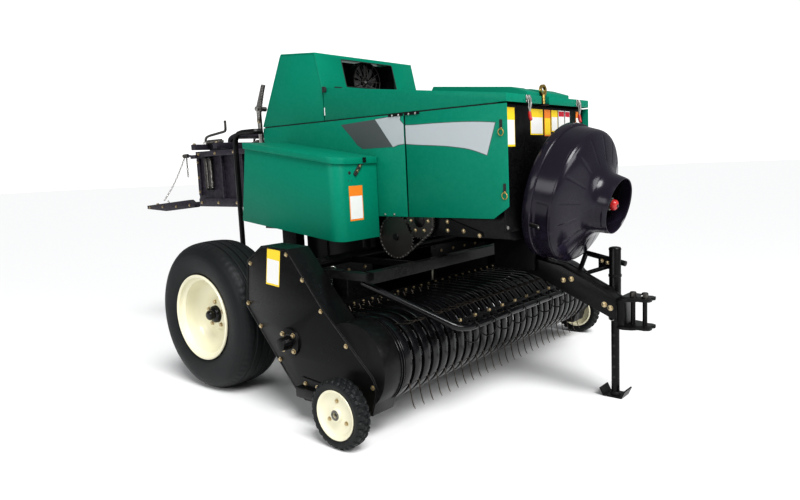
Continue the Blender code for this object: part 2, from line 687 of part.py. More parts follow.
def pickup_pan():
    centre = (AUGER.x, AUGER.z)
    sheet = outline_plate(arc(centre, 0.122, 185, 315, 12) + arc(centre, 0.116, 315, 185, 12),
                          -0.8295, 0.8295)
    node(sheet, "pickup_pan", "black")


def tine_reel():
    shaft = rod((REEL.x, -0.820, REEL.z), (REEL.x, 0.820, REEL.z), 0.020)
    phase = Matrix.Rotation(math.radians(REEL_PHASE), 2)

    def turned_about_reel(dx, dz):
        offset = phase @ Vector((dx, dz))
        return REEL.x + offset.x, REEL.z + offset.y

    arms = []
    for half_x, half_z in ((0.130, 0.018), (0.018, 0.130)):
        outline = [turned_about_reel(dx * half_x, dz * half_z)
                   for dx, dz in ((-1, -1), (1, -1), (1, 1), (-1, 1))]
        arms += [outline_plate(outline, y - 0.004, y + 0.004) for y in REEL_ARMS_Y]
    bars = []
    for dx, dz in ((0.125, 0), (-0.125, 0), (0, 0.125), (0, -0.125)):
        x, z = turned_about_reel(dx, dz)
        bars.append(rod((x, -0.815, z), (x, 0.815, z), 0.011, 8))
    node(union(shaft, *arms, *bars), "tine_reel", "black")


def flight(side):
    """Half of the auger's helical blade, from the end plate to the middle."""
    shape = bmesh.new()
    inner, outer = shape.verts.new((0.022, 0, 0)), shape.verts.new((AUGER_R, 0, 0))
    shape.edges.new((inner, outer))
    obj = from_bmesh(shape)
    screw = obj.modifiers.new("Helix", "SCREW")
    screw.axis = "Z"
    screw.angle = math.radians(360 * 3) * side
    screw.screw_offset = 0.500
    screw.steps = screw.render_steps = 28
    screw.use_merge_vertices = False
    thick = obj.modifiers.new("Thickness", "SOLIDIFY")
    thick.thickness = 0.004
    thick.offset = 0.0
    point_along(obj, (AUGER.x, side * 0.300, AUGER.z), (0, side, 0))
    return obj


def auger():
    shaft = rod((AUGER.x, -0.820, AUGER.z), (AUGER.x, 0.820, AUGER.z), 0.032, 20)
    node(union(shaft, flight(-1), flight(1)), "auger", "black")


def windguard():
    path = []
    for side in (-1, 1):
        pivot = (GUARD_PIVOT.x, side * 0.770, GUARD_PIVOT.z)
        corner = (GUARD_TUBE.x - 0.020, side * GUARD_HALF_WIDTH, GUARD_TUBE.z + 0.010)
        half = [pivot, corner, (GUARD_TUBE.x, side * (GUARD_HALF_WIDTH - 0.060), GUARD_TUBE.z)]
        path += half if side < 0 else half[::-1]
    node(tube(path, 0.016, 0.05), "windguard", "black")


def build():
    main_frame()
    axle_beam()
    tongue()
    hitch_clevis()
    jack()
    bale_chamber()
    rear_pipe()
    bale_chute()
    knotter_hood()
    knotter_stack()
    fan()
    trip_arm()
    rear_guard_tube()
    body_panels()
    top_cover("top_cover_right", -0.390, -0.090, -0.200, -0.090)
    top_cover("top_cover_left", -0.020, 0.390, -0.020, 0.200)
    lifting_spine()
    driveline()
    drive_sprocket()
    feed_housing()
    pickup_frame()
    pickup_bands()
    pickup_pan()
    tine_reel()
    auger()
    windguard()
    for side in (-1, 1):
        main_wheel(side)
        gauge_wheel(side)
        pickup_side(side)
        density_crank(side)
        twine_box(side)


build()
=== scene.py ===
# A square baler: skins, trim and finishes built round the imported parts.
# Metres, with +X towards the hitch, +Y to the left, +Z up and the floor at z 0.
import math

import bmesh
import bpy
import numpy as np
from mathutils import Matrix


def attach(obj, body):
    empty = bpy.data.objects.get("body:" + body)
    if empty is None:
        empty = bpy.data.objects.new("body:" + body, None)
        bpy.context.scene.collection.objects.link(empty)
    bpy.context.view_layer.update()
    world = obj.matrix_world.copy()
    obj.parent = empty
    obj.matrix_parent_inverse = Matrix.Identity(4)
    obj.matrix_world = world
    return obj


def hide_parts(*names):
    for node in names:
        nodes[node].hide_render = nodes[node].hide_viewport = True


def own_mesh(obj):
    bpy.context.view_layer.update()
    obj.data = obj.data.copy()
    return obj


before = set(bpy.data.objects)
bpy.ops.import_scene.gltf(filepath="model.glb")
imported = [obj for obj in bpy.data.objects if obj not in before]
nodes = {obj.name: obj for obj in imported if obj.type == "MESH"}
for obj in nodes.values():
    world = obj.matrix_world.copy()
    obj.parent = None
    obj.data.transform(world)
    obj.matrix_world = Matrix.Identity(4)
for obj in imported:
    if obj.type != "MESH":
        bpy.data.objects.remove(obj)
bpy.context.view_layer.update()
print("frame loaded:", len(nodes), "nodes")


def unit(vectors):
    vectors = np.asarray(vectors, float)
    return vectors / np.linalg.norm(vectors, axis=-1, keepdims=True)


def basis(direction):
    # rows: two directions across, then the direction itself
    along = unit(direction)
    helper = np.array([0.0, 0.0, 1.0]) if abs(along[2]) < 0.9 else np.array([1.0, 0.0, 0.0])
    across = unit(np.cross(helper, along))
    return np.stack([across, np.cross(along, across), along])


def gridShape(points, wrapRows=False, wrapColumns=False, capEnds=False):
    # neighbouring points of a rows x columns grid make a four-sided face
    rows, columns = points.shape[:2]
    index = np.arange(rows * columns).reshape(rows, columns)
    first, last = index[0], index[-1]
    if wrapRows:
        index = np.vstack([index, index[:1]])
    if wrapColumns:
        index = np.hstack([index, index[:, :1]])
    quads = np.stack([index[:-1, :-1], index[1:, :-1], index[1:, 1:], index[:-1, 1:]], -1)
    faces = quads.reshape(-1, 4).tolist()
    if capEnds:
        faces += [first.tolist(), last[::-1].tolist()]
    return points.reshape(-1, 3), faces


def turnedShape(profile, origin, direction, steps=64, closed=True, relief=None):
    # each (r, h) of the profile goes round the axis: origin + h along + r (cos a, sin a) across
    profile = np.asarray(profile, float)
    angles = np.linspace(0, 2 * math.pi, steps, endpoint=False)
    radius = np.broadcast_to(profile[None, :, 0], (steps, len(profile))).copy()
    height = np.broadcast_to(profile[None, :, 1], (steps, len(profile))).copy()
    if relief is not None:
        radius, height = relief(angles[:, None], radius, height)
    across, other, along = basis(direction)
    ring = np.cos(angles)[:, None] * across + np.sin(angles)[:, None] * other
    points = np.asarray(origin, float) + height[..., None] * along + radius[..., None] * ring[:, None,
            :]
    return gridShape(points, wrapRows=True, wrapColumns=closed)


def smoothCurve(points, count, closed=False):
    # a Catmull-Rom curve: each span blends its four nearest points with cubic weights
    points = np.asarray(points, float)
    if closed:
        padded = np.vstack([points[-1:], points, points[:2]])
    else:
        padded = np.vstack([2 * points[0] - points[1], points, 2 * points[-1] - points[-2]])
    spans = len(padded) - 3
    place = np.linspace(0, spans, count, endpoint=not closed)
    span = np.minimum(place.astype(int), spans - 1)
    t = (place - span)[:, None]
    a, b, c, d = (padded[span + i] for i in range(4))
    return 0.5 * (2 * b + (c - a) * t + (2 * a - 5 * b + 4 * c - d) * t ** 2 + (3 * b - a - 3 * c + d)
                  * t ** 3)


def roundedPath(points, reach, steps=6):
    # every corner B between A and C becomes (1-t)^2 A' + 2t(1-t) B + t^2 C', with A' and C' a reach away
    points = np.asarray(points, float)
    t = np.linspace(0, 1, steps)[:, None]
    made = [points[:1]]
    for before, corner, after in zip(points[:-2], points[1:-1], points[2:]):
        limit = 0.48 * min(np.linalg.norm(before - corner), np.linalg.norm(after - corner))
        near = corner + unit(before - corner) * min(reach, limit)
        far = corner + unit(after - corner) * min(reach, limit)
        made.append((1 - t) ** 2 * near + 2 * t * (1 - t) * corner + t ** 2 * far)
    return np.vstack(made + [points[-1:]])


def sweptShape(path, radius, up, sides=10, closed=False):
    # a circle stands square to the path at each point; up is a direction the path never runs along
    path = np.asarray(path, float)
    along = np.roll(path, -1, 0) - np.roll(path, 1, 0) if closed else np.gradient(path, axis=0)
    along = unit(along)
    side = unit(np.cross(np.asarray(up, float), along))
    other = np.cross(along, side)
    angles = np.linspace(0, 2 * math.pi, sides, endpoint=False)[None, :, None]
    size = np.broadcast_to(np.asarray(radius, float), len(path))[:, None, None]
    points = path[:, None] + size * (np.cos(angles) * side[:, None] + np.sin(angles) * other[:, None])
    return gridShape(points, wrapRows=closed, wrapColumns=True, capEnds=not closed)


def insetOutline(outline, inset):
    # every corner moves in along the mean of its two edges' normals
    before, after = np.roll(outline, 1, 0), np.roll(outline, -1, 0)
    area = np.sum(outline[:, 0] * after[:, 1] - after[:, 0] * outline[:, 1])
    sense = 1.0 if area > 0 else -1.0
    first, second = unit(outline - before), unit(after - outline)
    normalOne = sense * np.stack([-first[:, 1], first[:, 0]], -1)
    normalTwo = sense * np.stack([-second[:, 1], second[:, 0]], -1)
    share = 1 + np.sum(normalOne * normalTwo, -1, keepdims=True)
    return outline + inset * (normalOne + normalTwo) / np.maximum(share, 0.3)


planes = {
    "xz": ((1, 0, 0), (0, 0, 1), (0, 1, 0)),
    "xy": ((1, 0, 0), (0, 1, 0), (0, 0, 1)),
    "yz": ((0, 1, 0), (0, 0, 1), (1, 0, 0)),
}


def plateShape(outline, low, high, plane="xz", ease=0.0012, origin=(0, 0, 0)):
    # an outline carried from low to high along the third direction, with its rims eased
    outline = np.asarray(outline, float)
    ease = min(ease, abs(high - low) * 0.35)
    axes = np.asarray(planes[plane] if isinstance(plane, str) else plane, float)
    inner = insetOutline(outline, ease)
    layers = [(inner, low), (outline, low + ease), (outline, high - ease), (inner, high)]
    points = np.stack([flat @ axes[:2] + level * axes[2] for flat, level in layers])
    return gridShape(points + np.asarray(origin, float), wrapColumns=True, capEnds=True)


def blockShape(low, high, ease=0.0015):
    (x0, y0, z0), (x1, y1, z1) = low, high
    return plateShape([(x0, z0), (x1, z0), (x1, z1), (x0, z1)], min(y0, y1), max(y0, y1), "xz", ease)


def roundedOutline(corners, radius, steps=5):
    # the outline's corners are cut by short curves
    corners = np.asarray(corners, float)
    looped = np.vstack([corners[-1:], corners, corners[:1]])
    return roundedPath(looped, radius, steps)[1:-1]


def repeatedShape(shape, origins, directions):
    # a small shape made along +Z is turned to each direction and moved to each place
    points, faces = shape
    origins = np.asarray(origins, float)
    directions = np.broadcast_to(np.asarray(directions, float), origins.shape)
    frames = np.stack([basis(direction) for direction in directions])
    placed = np.einsum("vk,nkj->nvj", points, frames) + origins[:, None]
    made = [[corner + copy * len(points) for corner in face] for copy in range(len(origins))
            for face in faces]
    return placed.reshape(-1, 3), made


def joined(*shapes):
    # several shapes' points and faces as one
    starts = np.cumsum([0] + [len(points) for points, _ in shapes])
    faces = [[corner + start for corner in face] for (_, made), start in zip(shapes, starts)
             for face in made]
    return np.vstack([points for points, _ in shapes]), faces


def makePiece(name, body, parts, standsFor=(), sharp=35):
    # parts are (shape, finish) pairs; the shells join into one mesh whose faces are turned outwards
    finishes = list(dict.fromkeys(finish for _, finish in parts))
    points, faces = joined(*[shape for shape, _ in parts])
    slots = np.repeat([finishes.index(finish) for _, finish in parts],
                      [len(shape[1]) for shape, _ in parts])
    mesh = bpy.data.meshes.new(name)
    mesh.from_pydata(points.tolist(), [], faces)
    mesh.polygons.foreach_set("material_index", slots.astype(np.int32))
    for finish in finishes:
        mesh.materials.append(finishMaterials[finish])
    work = bmesh.new()
    work.from_mesh(mesh)
    bmesh.ops.remove_doubles(work, verts=work.verts, dist=1e-6)
    bmesh.ops.recalc_face_normals(work, faces=work.faces)
    work.to_mesh(mesh)
    work.free()
    mesh.polygons.foreach_set("use_smooth", np.ones(len(mesh.polygons), bool))
    mesh.set_sharp_from_angle(angle=math.radians(sharp))
    piece = bpy.data.objects.new(name, mesh)
    bpy.context.scene.collection.objects.link(piece)
    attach(piece, body)
    if standsFor:
        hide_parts(*standsFor)
    return piece


def addNode(tree, kind, values=None, **settings):
    made = tree.nodes.new(kind)
    for key, value in settings.items():
        setattr(made, key, value)
    for key, value in (values or {}).items():
        if isinstance(value, bpy.types.NodeSocket):
            tree.links.new(value, made.inputs[key])
        else:
            made.inputs[key].default_value = value
    return made


def newGroup(name, inputs, outputs):
    group = bpy.data.node_groups.new(name, "ShaderNodeTree")
    for label, value in inputs.items():
        made = group.interface.new_socket(label, in_out="INPUT", socket_type="NodeSocketFloat")
        made.default_value = value
    for label in outputs:
        group.interface.new_socket(label, in_out="OUTPUT", socket_type="NodeSocketFloat")
    return group, group.nodes.new("NodeGroupInput").outputs, group.nodes.new("NodeGroupOutput")


def grainGroup():
    # a slow patchy tone, a fine skin for the bump, and sparse specks, all from noise on object coordinates
    group, given, result = newGroup("surfaceGrain",
                                    {"Patch scale": 6.0, "Skin scale": 300.0, "Speck scale": 90.0},
                                    ("Patch", "Skin", "Specks"))
    place = addNode(group, "ShaderNodeTexCoord").outputs["Object"]
    patch = addNode(group, "ShaderNodeTexNoise",
                    {"Vector": place, "Scale": given["Patch scale"], "Detail": 4.0, "Roughness": 0.6})
    skin = addNode(group, "ShaderNodeTexNoise",
                   {"Vector": place, "Scale": given["Skin scale"], "Detail": 3.0})
    speck = addNode(group, "ShaderNodeTexNoise",
                    {"Vector": place, "Scale": given["Speck scale"], "Detail": 2.0})
    rare = addNode(group, "ShaderNodeMapRange",
                   {"Value": speck.outputs["Fac"], "From Min": 0.66, "From Max": 0.74})
    group.links.new(patch.outputs["Fac"], result.inputs["Patch"])
    group.links.new(skin.outputs["Fac"], result.inputs["Skin"])
    group.links.new(rare.outputs["Result"], result.inputs["Specks"])
    return group


def dustGroup():
    # upward faces and the lowest part of the machine gather dust, broken up by noise
    group, given, result = newGroup("dustFall", {"Amount": 0.2, "Scale": 9.0, "Ground": 0.5}, ("Mask",))
    geometry = addNode(group, "ShaderNodeNewGeometry")
    place = addNode(group, "ShaderNodeTexCoord").outputs["Object"]
    facing = addNode(group, "ShaderNodeSeparateXYZ", {0: geometry.outputs["Normal"]})
    height = addNode(group, "ShaderNodeSeparateXYZ", {0: place})
    upward = addNode(group, "ShaderNodeMapRange",
                     {"Value": facing.outputs["Z"], "From Min": 0.45, "From Max": 1.0})
    low = addNode(group, "ShaderNodeMapRange",
                  {"Value": height.outputs["Z"], "From Min": 0.42, "From Max": 0.02})
    lowShare = addNode(group, "ShaderNodeMath", {0: low.outputs["Result"], 1: given["Ground"]},
                       operation="MULTIPLY")
    either = addNode(group, "ShaderNodeMath", {0: upward.outputs["Result"], 1: lowShare.outputs[0]},
                     operation="MAXIMUM")
    cloud = addNode(group, "ShaderNodeTexNoise",
                    {"Vector": place, "Scale": given["Scale"], "Detail": 6.0, "Roughness": 0.7})
    broken = addNode(group, "ShaderNodeMapRange",
                     {"Value": cloud.outputs["Fac"], "From Min": 0.35, "From Max": 0.75})
    both = addNode(group, "ShaderNodeMath", {0: either.outputs[0], 1: broken.outputs["Result"]},
                   operation="MULTIPLY")
    final = addNode(group, "ShaderNodeMath", {0: both.outputs[0], 1: given["Amount"]},
                    operation="MULTIPLY")
    group.links.new(final.outputs[0], result.inputs["Mask"])
    return group


def paintedEdgeHighlightGroup():
    # raised edges, found by pointiness and broken up by noise, give the mask of a painted edge highlight
    group, given, result = newGroup("paintedEdgeHighlight", {"Amount": 0.3, "Scale": 60.0}, ("Mask",))
    geometry = addNode(group, "ShaderNodeNewGeometry")
    place = addNode(group, "ShaderNodeTexCoord").outputs["Object"]
    edge = addNode(group, "ShaderNodeMapRange",
                   {"Value": geometry.outputs["Pointiness"], "From Min": 0.515, "From Max": 0.60})
    cloud = addNode(group, "ShaderNodeTexNoise",
                    {"Vector": place, "Scale": given["Scale"], "Detail": 5.0, "Roughness": 0.7})
    broken = addNode(group, "ShaderNodeMapRange",
                     {"Value": cloud.outputs["Fac"], "From Min": 0.40, "From Max": 0.62})
    both = addNode(group, "ShaderNodeMath", {0: edge.outputs["Result"], 1: broken.outputs["Result"]},
                   operation="MULTIPLY")
    final = addNode(group, "ShaderNodeMath", {0: both.outputs[0], 1: given["Amount"]},
                    operation="MULTIPLY")
    group.links.new(final.outputs[0], result.inputs["Mask"])
    return group


effects = {"grain": grainGroup(), "dust": dustGroup(), "paintedEdgeLight": paintedEdgeHighlightGroup()}

# tone and second tone, roughness and its swing, metal, coat, skin bump, dust and the painted edge
# highlight's tone and amount of every finish
finishTable = {
    "greenPaint": dict(tone=(0.0, 0.205, 0.128), second=(0.0, 0.182, 0.112), rough=0.40, swing=0.06,
                       coat=0.0, gloss=0.12,
                       skin=(520, 0.012), dust=0.015, edgeLightTone=(0.03, 0.30, 0.20), paintedEdgeLight=0.20),
    "blackPaint": dict(tone=(0.0025, 0.0025, 0.003), second=(0.0045, 0.0045, 0.005), rough=0.30,
                       swing=0.10, coat=0.0, gloss=0.22,
                       skin=(420, 0.020), dust=0.012, edgeLightTone=(0.04, 0.04, 0.04), paintedEdgeLight=0.2),
    "blackGloss": dict(tone=(0.0025, 0.0025, 0.003), second=(0.004, 0.004, 0.005), rough=0.18,
                       swing=0.08, coat=0.0, gloss=0.38,
                       skin=(300, 0.012), dust=0.010, edgeLightTone=(0.04, 0.04, 0.045), paintedEdgeLight=0.15),
    "blackSatin": dict(tone=(0.004, 0.004, 0.0045), second=(0.007, 0.007, 0.0075), rough=0.45,
                       swing=0.12, gloss=0.15,
                       skin=(600, 0.030), dust=0.06, edgeLightTone=(0.07, 0.07, 0.07), paintedEdgeLight=0.3),
    "chamberPaint": dict(tone=(0.014, 0.012, 0.018), second=(0.022, 0.019, 0.028), rough=0.45,
                         swing=0.12, gloss=0.3,
                         skin=(380, 0.030), dust=0.03, edgeLightTone=(0.10, 0.09, 0.11), paintedEdgeLight=0.4),
    "creamPaint": dict(tone=(0.800, 0.770, 0.585), second=(0.740, 0.705, 0.520), rough=0.36, swing=0.08,
                       coat=0.20,
                       skin=(460, 0.015), dust=0.05, edgeLightTone=(0.55, 0.50, 0.38), paintedEdgeLight=0.4),
    "whitePaint": dict(tone=(0.700, 0.700, 0.690), second=(0.600, 0.600, 0.590), rough=0.42, swing=0.08,
                       coat=0.1,
                       skin=(420, 0.010), dust=0.05, edgeLightTone=(0.4, 0.4, 0.4), paintedEdgeLight=0.3),
    "rubber": dict(tone=(0.0055, 0.0068, 0.0075), second=(0.010, 0.012, 0.013), rough=0.46, swing=0.14,
                   gloss=0.25,
                   skin=(700, 0.050), dust=0.04, edgeLightTone=(0.03, 0.03, 0.03), paintedEdgeLight=0.3),
    "zinc": dict(tone=(0.52, 0.51, 0.48), second=(0.40, 0.39, 0.37), rough=0.33, swing=0.14, metal=1.0,
                 skin=(800, 0.020), dust=0.03, edgeLightTone=(0.75, 0.75, 0.75), paintedEdgeLight=0.4),
    "goldZinc": dict(tone=(0.56, 0.43, 0.22), second=(0.48, 0.40, 0.28), rough=0.32, swing=0.14,
                     metal=1.0,
                     skin=(800, 0.020), dust=0.03, edgeLightTone=(0.7, 0.65, 0.5), paintedEdgeLight=0.4),
    "brass": dict(tone=(0.62, 0.42, 0.13), second=(0.45, 0.31, 0.11), rough=0.30, swing=0.10, metal=1.0,
                  skin=(700, 0.020), dust=0.02, edgeLightTone=(0.8, 0.6, 0.3), paintedEdgeLight=0.4),
    "darkSteel": dict(tone=(0.10, 0.095, 0.09), second=(0.060, 0.056, 0.052), rough=0.40, swing=0.18,
                      metal=0.9,
                      skin=(600, 0.030), dust=0.06, edgeLightTone=(0.3, 0.29, 0.27), paintedEdgeLight=0.6),
    "castIron": dict(tone=(0.060, 0.058, 0.060), second=(0.085, 0.080, 0.080), rough=0.60, swing=0.14,
                     metal=0.3,
                     skin=(260, 0.120), dust=0.08, edgeLightTone=(0.2, 0.2, 0.2), paintedEdgeLight=0.5),
    "tineSteel": dict(tone=(0.030, 0.024, 0.020), second=(0.060, 0.045, 0.035), rough=0.38, swing=0.12,
                      metal=0.7,
                      skin=(500, 0.030), dust=0.04, edgeLightTone=(0.2, 0.17, 0.14), paintedEdgeLight=0.5),
    "silverVinyl": dict(tone=(0.50, 0.54, 0.56), second=(0.44, 0.48, 0.50), rough=0.38, swing=0.05,
                        metal=0.25,
                        skin=(900, 0.006), dust=0.02, edgeLightTone=(0.6, 0.6, 0.6), paintedEdgeLight=0.0),
    "greyVinyl": dict(tone=(0.075, 0.085, 0.085), second=(0.060, 0.070, 0.070), rough=0.40, swing=0.05,
                      skin=(900, 0.006), dust=0.02, edgeLightTone=(0.2, 0.2, 0.2), paintedEdgeLight=0.0),
    "whiteVinyl": dict(tone=(0.78, 0.78, 0.76), second=(0.70, 0.70, 0.68), rough=0.42, swing=0.05,
                       skin=(900, 0.006), dust=0.02, edgeLightTone=(0.8, 0.8, 0.8), paintedEdgeLight=0.0),
    "yellowVinyl": dict(tone=(0.85, 0.62, 0.02), second=(0.78, 0.55, 0.02), rough=0.40, swing=0.05,
                        skin=(900, 0.006), dust=0.02, edgeLightTone=(0.8, 0.7, 0.2), paintedEdgeLight=0.0),
    "orangeVinyl": dict(tone=(0.82, 0.24, 0.02), second=(0.74, 0.20, 0.02), rough=0.40, swing=0.05,
                        skin=(900, 0.006), dust=0.02, edgeLightTone=(0.8, 0.4, 0.2), paintedEdgeLight=0.0),
    "redVinyl": dict(tone=(0.52, 0.01, 0.03), second=(0.45, 0.01, 0.03), rough=0.40, swing=0.05,
                     skin=(900, 0.006), dust=0.02, edgeLightTone=(0.7, 0.2, 0.2), paintedEdgeLight=0.0),
    "redPlastic": dict(tone=(0.50, 0.012, 0.012), second=(0.38, 0.010, 0.010), rough=0.32, swing=0.06,
                       coat=0.2,
                       skin=(500, 0.020), dust=0.03, edgeLightTone=(0.7, 0.2, 0.2), paintedEdgeLight=0.3),
    "blackRubber": dict(tone=(0.010, 0.010, 0.010), second=(0.016, 0.016, 0.016), rough=0.70,
                        swing=0.10,
                        skin=(500, 0.060), dust=0.08, edgeLightTone=(0.05, 0.05, 0.05), paintedEdgeLight=0.3),
}


def finishMaterial(name, tone, second, rough, swing, skin, dust, edgeLightTone, paintedEdgeLight, metal=0.0, coat=0.0,
                   patchScale=5.0, dustTone=(0.30, 0.27, 0.22), gloss=0.5):
    # base colour: two tones mixed by the patches, then a painted highlight on the edges, then dust; the
    # skin drives the bump
    material = bpy.data.materials.new(name)
    material.use_nodes = True
    tree = material.node_tree
    shader = tree.nodes["Principled BSDF"]
    grain = addNode(tree, "ShaderNodeGroup", node_tree=effects["grain"])
    grain.inputs["Patch scale"].default_value = patchScale
    grain.inputs["Skin scale"].default_value = skin[0]
    fall = addNode(tree, "ShaderNodeGroup", node_tree=effects["dust"])
    fall.inputs["Amount"].default_value = dust
    mixed = addNode(tree, "ShaderNodeMix", {"Factor": grain.outputs["Patch"]}, data_type="RGBA")
    mixed.inputs[6].default_value = (*tone, 1)
    mixed.inputs[7].default_value = (*second, 1)
    colour = mixed.outputs[2]
    # edges found by pointiness are mixed towards a lighter tone: a painted edge highlight
    if paintedEdgeLight:
        edges = addNode(tree, "ShaderNodeGroup", node_tree=effects["paintedEdgeLight"])
        edges.inputs["Amount"].default_value = paintedEdgeLight
        edgeLit = addNode(tree, "ShaderNodeMix", {"Factor": edges.outputs["Mask"], 6: colour},
                        data_type="RGBA")
        edgeLit.inputs[7].default_value = (*edgeLightTone, 1)
        colour = edgeLit.outputs[2]
    dusted = addNode(tree, "ShaderNodeMix", {"Factor": fall.outputs["Mask"], 6: colour},
                     data_type="RGBA")
    dusted.inputs[7].default_value = (*dustTone, 1)
    tree.links.new(dusted.outputs[2], shader.inputs["Base Color"])
    sheenRange = addNode(tree, "ShaderNodeMapRange",
                         {"Value": grain.outputs["Patch"], "From Min": 0.3, "From Max": 0.7,
                                                      "To Min": rough - swing / 2, "To Max": rough
                                                      + swing / 2})
    duller = addNode(tree, "ShaderNodeMath", {0: sheenRange.outputs["Result"], 1: fall.outputs["Mask"]},
                     operation="ADD", use_clamp=True)
    tree.links.new(duller.outputs[0], shader.inputs["Roughness"])
    bump = addNode(tree, "ShaderNodeBump",
                   {"Strength": min(1.0, skin[1] * 8), "Distance": 0.001,
                    "Height": grain.outputs["Skin"]})
    tree.links.new(bump.outputs["Normal"], shader.inputs["Normal"])
    shader.inputs["Metallic"].default_value = metal
    shader.inputs["Coat Weight"].default_value = coat
    shader.inputs["Coat Roughness"].default_value = 0.08
    shader.inputs["Specular IOR Level"].default_value = gloss
    return material


finishMaterials = {name: finishMaterial(name, **values) for name, values in finishTable.items()}


def shieldMaterial():
    # plum plastic: mottled in slow patches, cloudier low down, with swirl marks in the skin
    # its edges get the painted edge highlight as well
    material = finishMaterial("plumPlastic", tone=(0.0085, 0.0068, 0.0125),
                              second=(0.015, 0.012, 0.021), rough=0.19, swing=0.08,
                              skin=(140, 0.010), dust=0.01, edgeLightTone=(0.08, 0.07, 0.09), paintedEdgeLight=0.15,
                              coat=0.0, gloss=0.33, patchScale=4.0)
    tree = material.node_tree
    shader = tree.nodes["Principled BSDF"]
    place = addNode(tree, "ShaderNodeTexCoord").outputs["Object"]
    cloud = addNode(tree, "ShaderNodeTexNoise",
                    {"Vector": place, "Scale": 11.0, "Detail": 7.0, "Roughness": 0.75,
                     "Distortion": 1.2})
    height = addNode(tree, "ShaderNodeSeparateXYZ", {0: place})
    low = addNode(tree, "ShaderNodeMapRange",
                  {"Value": height.outputs["Z"], "From Min": 1.00, "From Max": 0.68})
    chalk = addNode(tree, "ShaderNodeMapRange",
                    {"Value": cloud.outputs["Fac"], "From Min": 0.50, "From Max": 0.80, "To Max": 0.30})
    share = addNode(tree, "ShaderNodeMath", {0: chalk.outputs["Result"], 1: low.outputs["Result"]},
                    operation="MULTIPLY")
    before = shader.inputs["Base Color"].links[0].from_socket
    clouded = addNode(tree, "ShaderNodeMix", {"Factor": share.outputs[0], 6: before}, data_type="RGBA")
    clouded.inputs[7].default_value = (0.10, 0.07, 0.15, 1)
    tree.links.new(clouded.outputs[2], shader.inputs["Base Color"])
    return material


finishMaterials["plumPlastic"] = shieldMaterial()
print("finishes:", len(finishMaterials))


# distances in metres, angles in degrees
dressing = dict(merge=2e-5, flatAngle=0.6, edgeAngle=40, smoothAngle=34, ease=0.0012)


def smoothingTree():
    # faces shade smooth, and edges sharper than the limit stay sharp
    tree = bpy.data.node_groups.new("smoothByAngle", "GeometryNodeTree")
    tree.interface.new_socket("Geometry", in_out="INPUT", socket_type="NodeSocketGeometry")
    tree.interface.new_socket("Geometry", in_out="OUTPUT", socket_type="NodeSocketGeometry")
    given, result = tree.nodes.new("NodeGroupInput"), tree.nodes.new("NodeGroupOutput")
    clean = addNode(tree, "GeometryNodeRemoveAttribute",
                    {"Geometry": given.outputs[0], "Name": "custom_normal"})
    faces = addNode(tree, "GeometryNodeSetShadeSmooth",
                    {"Geometry": clean.outputs[0], "Shade Smooth": True})
    angle = addNode(tree, "GeometryNodeInputMeshEdgeAngle")
    gentle = addNode(tree, "FunctionNodeCompare",
                     {0: angle.outputs["Unsigned Angle"], 1: math.radians(dressing["smoothAngle"])},
                     operation="LESS_THAN")
    edges = addNode(tree, "GeometryNodeSetShadeSmooth",
                    {"Geometry": faces.outputs[0], "Shade Smooth": gentle.outputs[0]}, domain="EDGE")
    tree.links.new(edges.outputs[0], result.inputs[0])
    return tree


smoothing = smoothingTree()


def dressNode(name, finish, ease=0.0):
    node = nodes[name]
    node.data.materials.clear()
    node.data.materials.append(finishMaterials[finish])
    weld = node.modifiers.new("merge", "WELD")
    weld.merge_threshold = dressing["merge"]
    if ease:
        flat = node.modifiers.new("flat", "DECIMATE")
        flat.decimate_type = "DISSOLVE"
        flat.angle_limit = math.radians(dressing["flatAngle"])
        eased = node.modifiers.new("ease", "BEVEL")
        eased.width = ease
        eased.segments = 2
        eased.limit_method = "ANGLE"
        eased.angle_limit = math.radians(dressing["edgeAngle"])
        eased.harden_normals = False
    shade = node.modifiers.new("shade", "NODES")
    shade.node_group = smoothing


keptNodes = {
    "greenPaint": ["knotter_hood", "side_panel_right", "side_panel_left", "side_door_right",
                   "side_door_left",
                   "top_cover_right", "top_cover_left", "twine_box_right", "twine_box_left",
                   "twine_lid_right", "twine_lid_left"],
    "blackPaint": ["main_frame", "axle_beam", "tongue", "hitch_clevis", "jack_housing", "jack_leg",
                   "front_panel", "pickup_frame",
                   "pickup_side_right", "pickup_side_left", "pickup_pan", "feed_housing",
                   "rear_guard_tube", "fan_shroud"],
    "blackSatin": ["tine_reel", "auger"],
    "chamberPaint": ["chamber_floor", "chamber_side_right", "chamber_side_left", "chamber_top",
                     "bale_chute", "rear_pipe", "knotter_stack"],
    "castIron": ["gearbox", "flywheel"],
    "darkSteel": ["density_crank_right", "density_crank_left"],
    "zinc": ["trip_arm"],
}
roundNodes = {"jack_leg", "pickup_frame", "pickup_pan", "rear_guard_tube", "fan_shroud", "tine_reel",
              "auger", "rear_pipe",
              "flywheel", "density_crank_right", "density_crank_left", "knotter_stack"}
for finish, names in keptNodes.items():
    for nodeName in names:
        dressNode(nodeName, finish, 0.0 if nodeName in roundNodes else dressing["ease"])


liftingEye = dict(shankLevel=1.3550, brass=(0.62, 0.44, 0.14, 1))


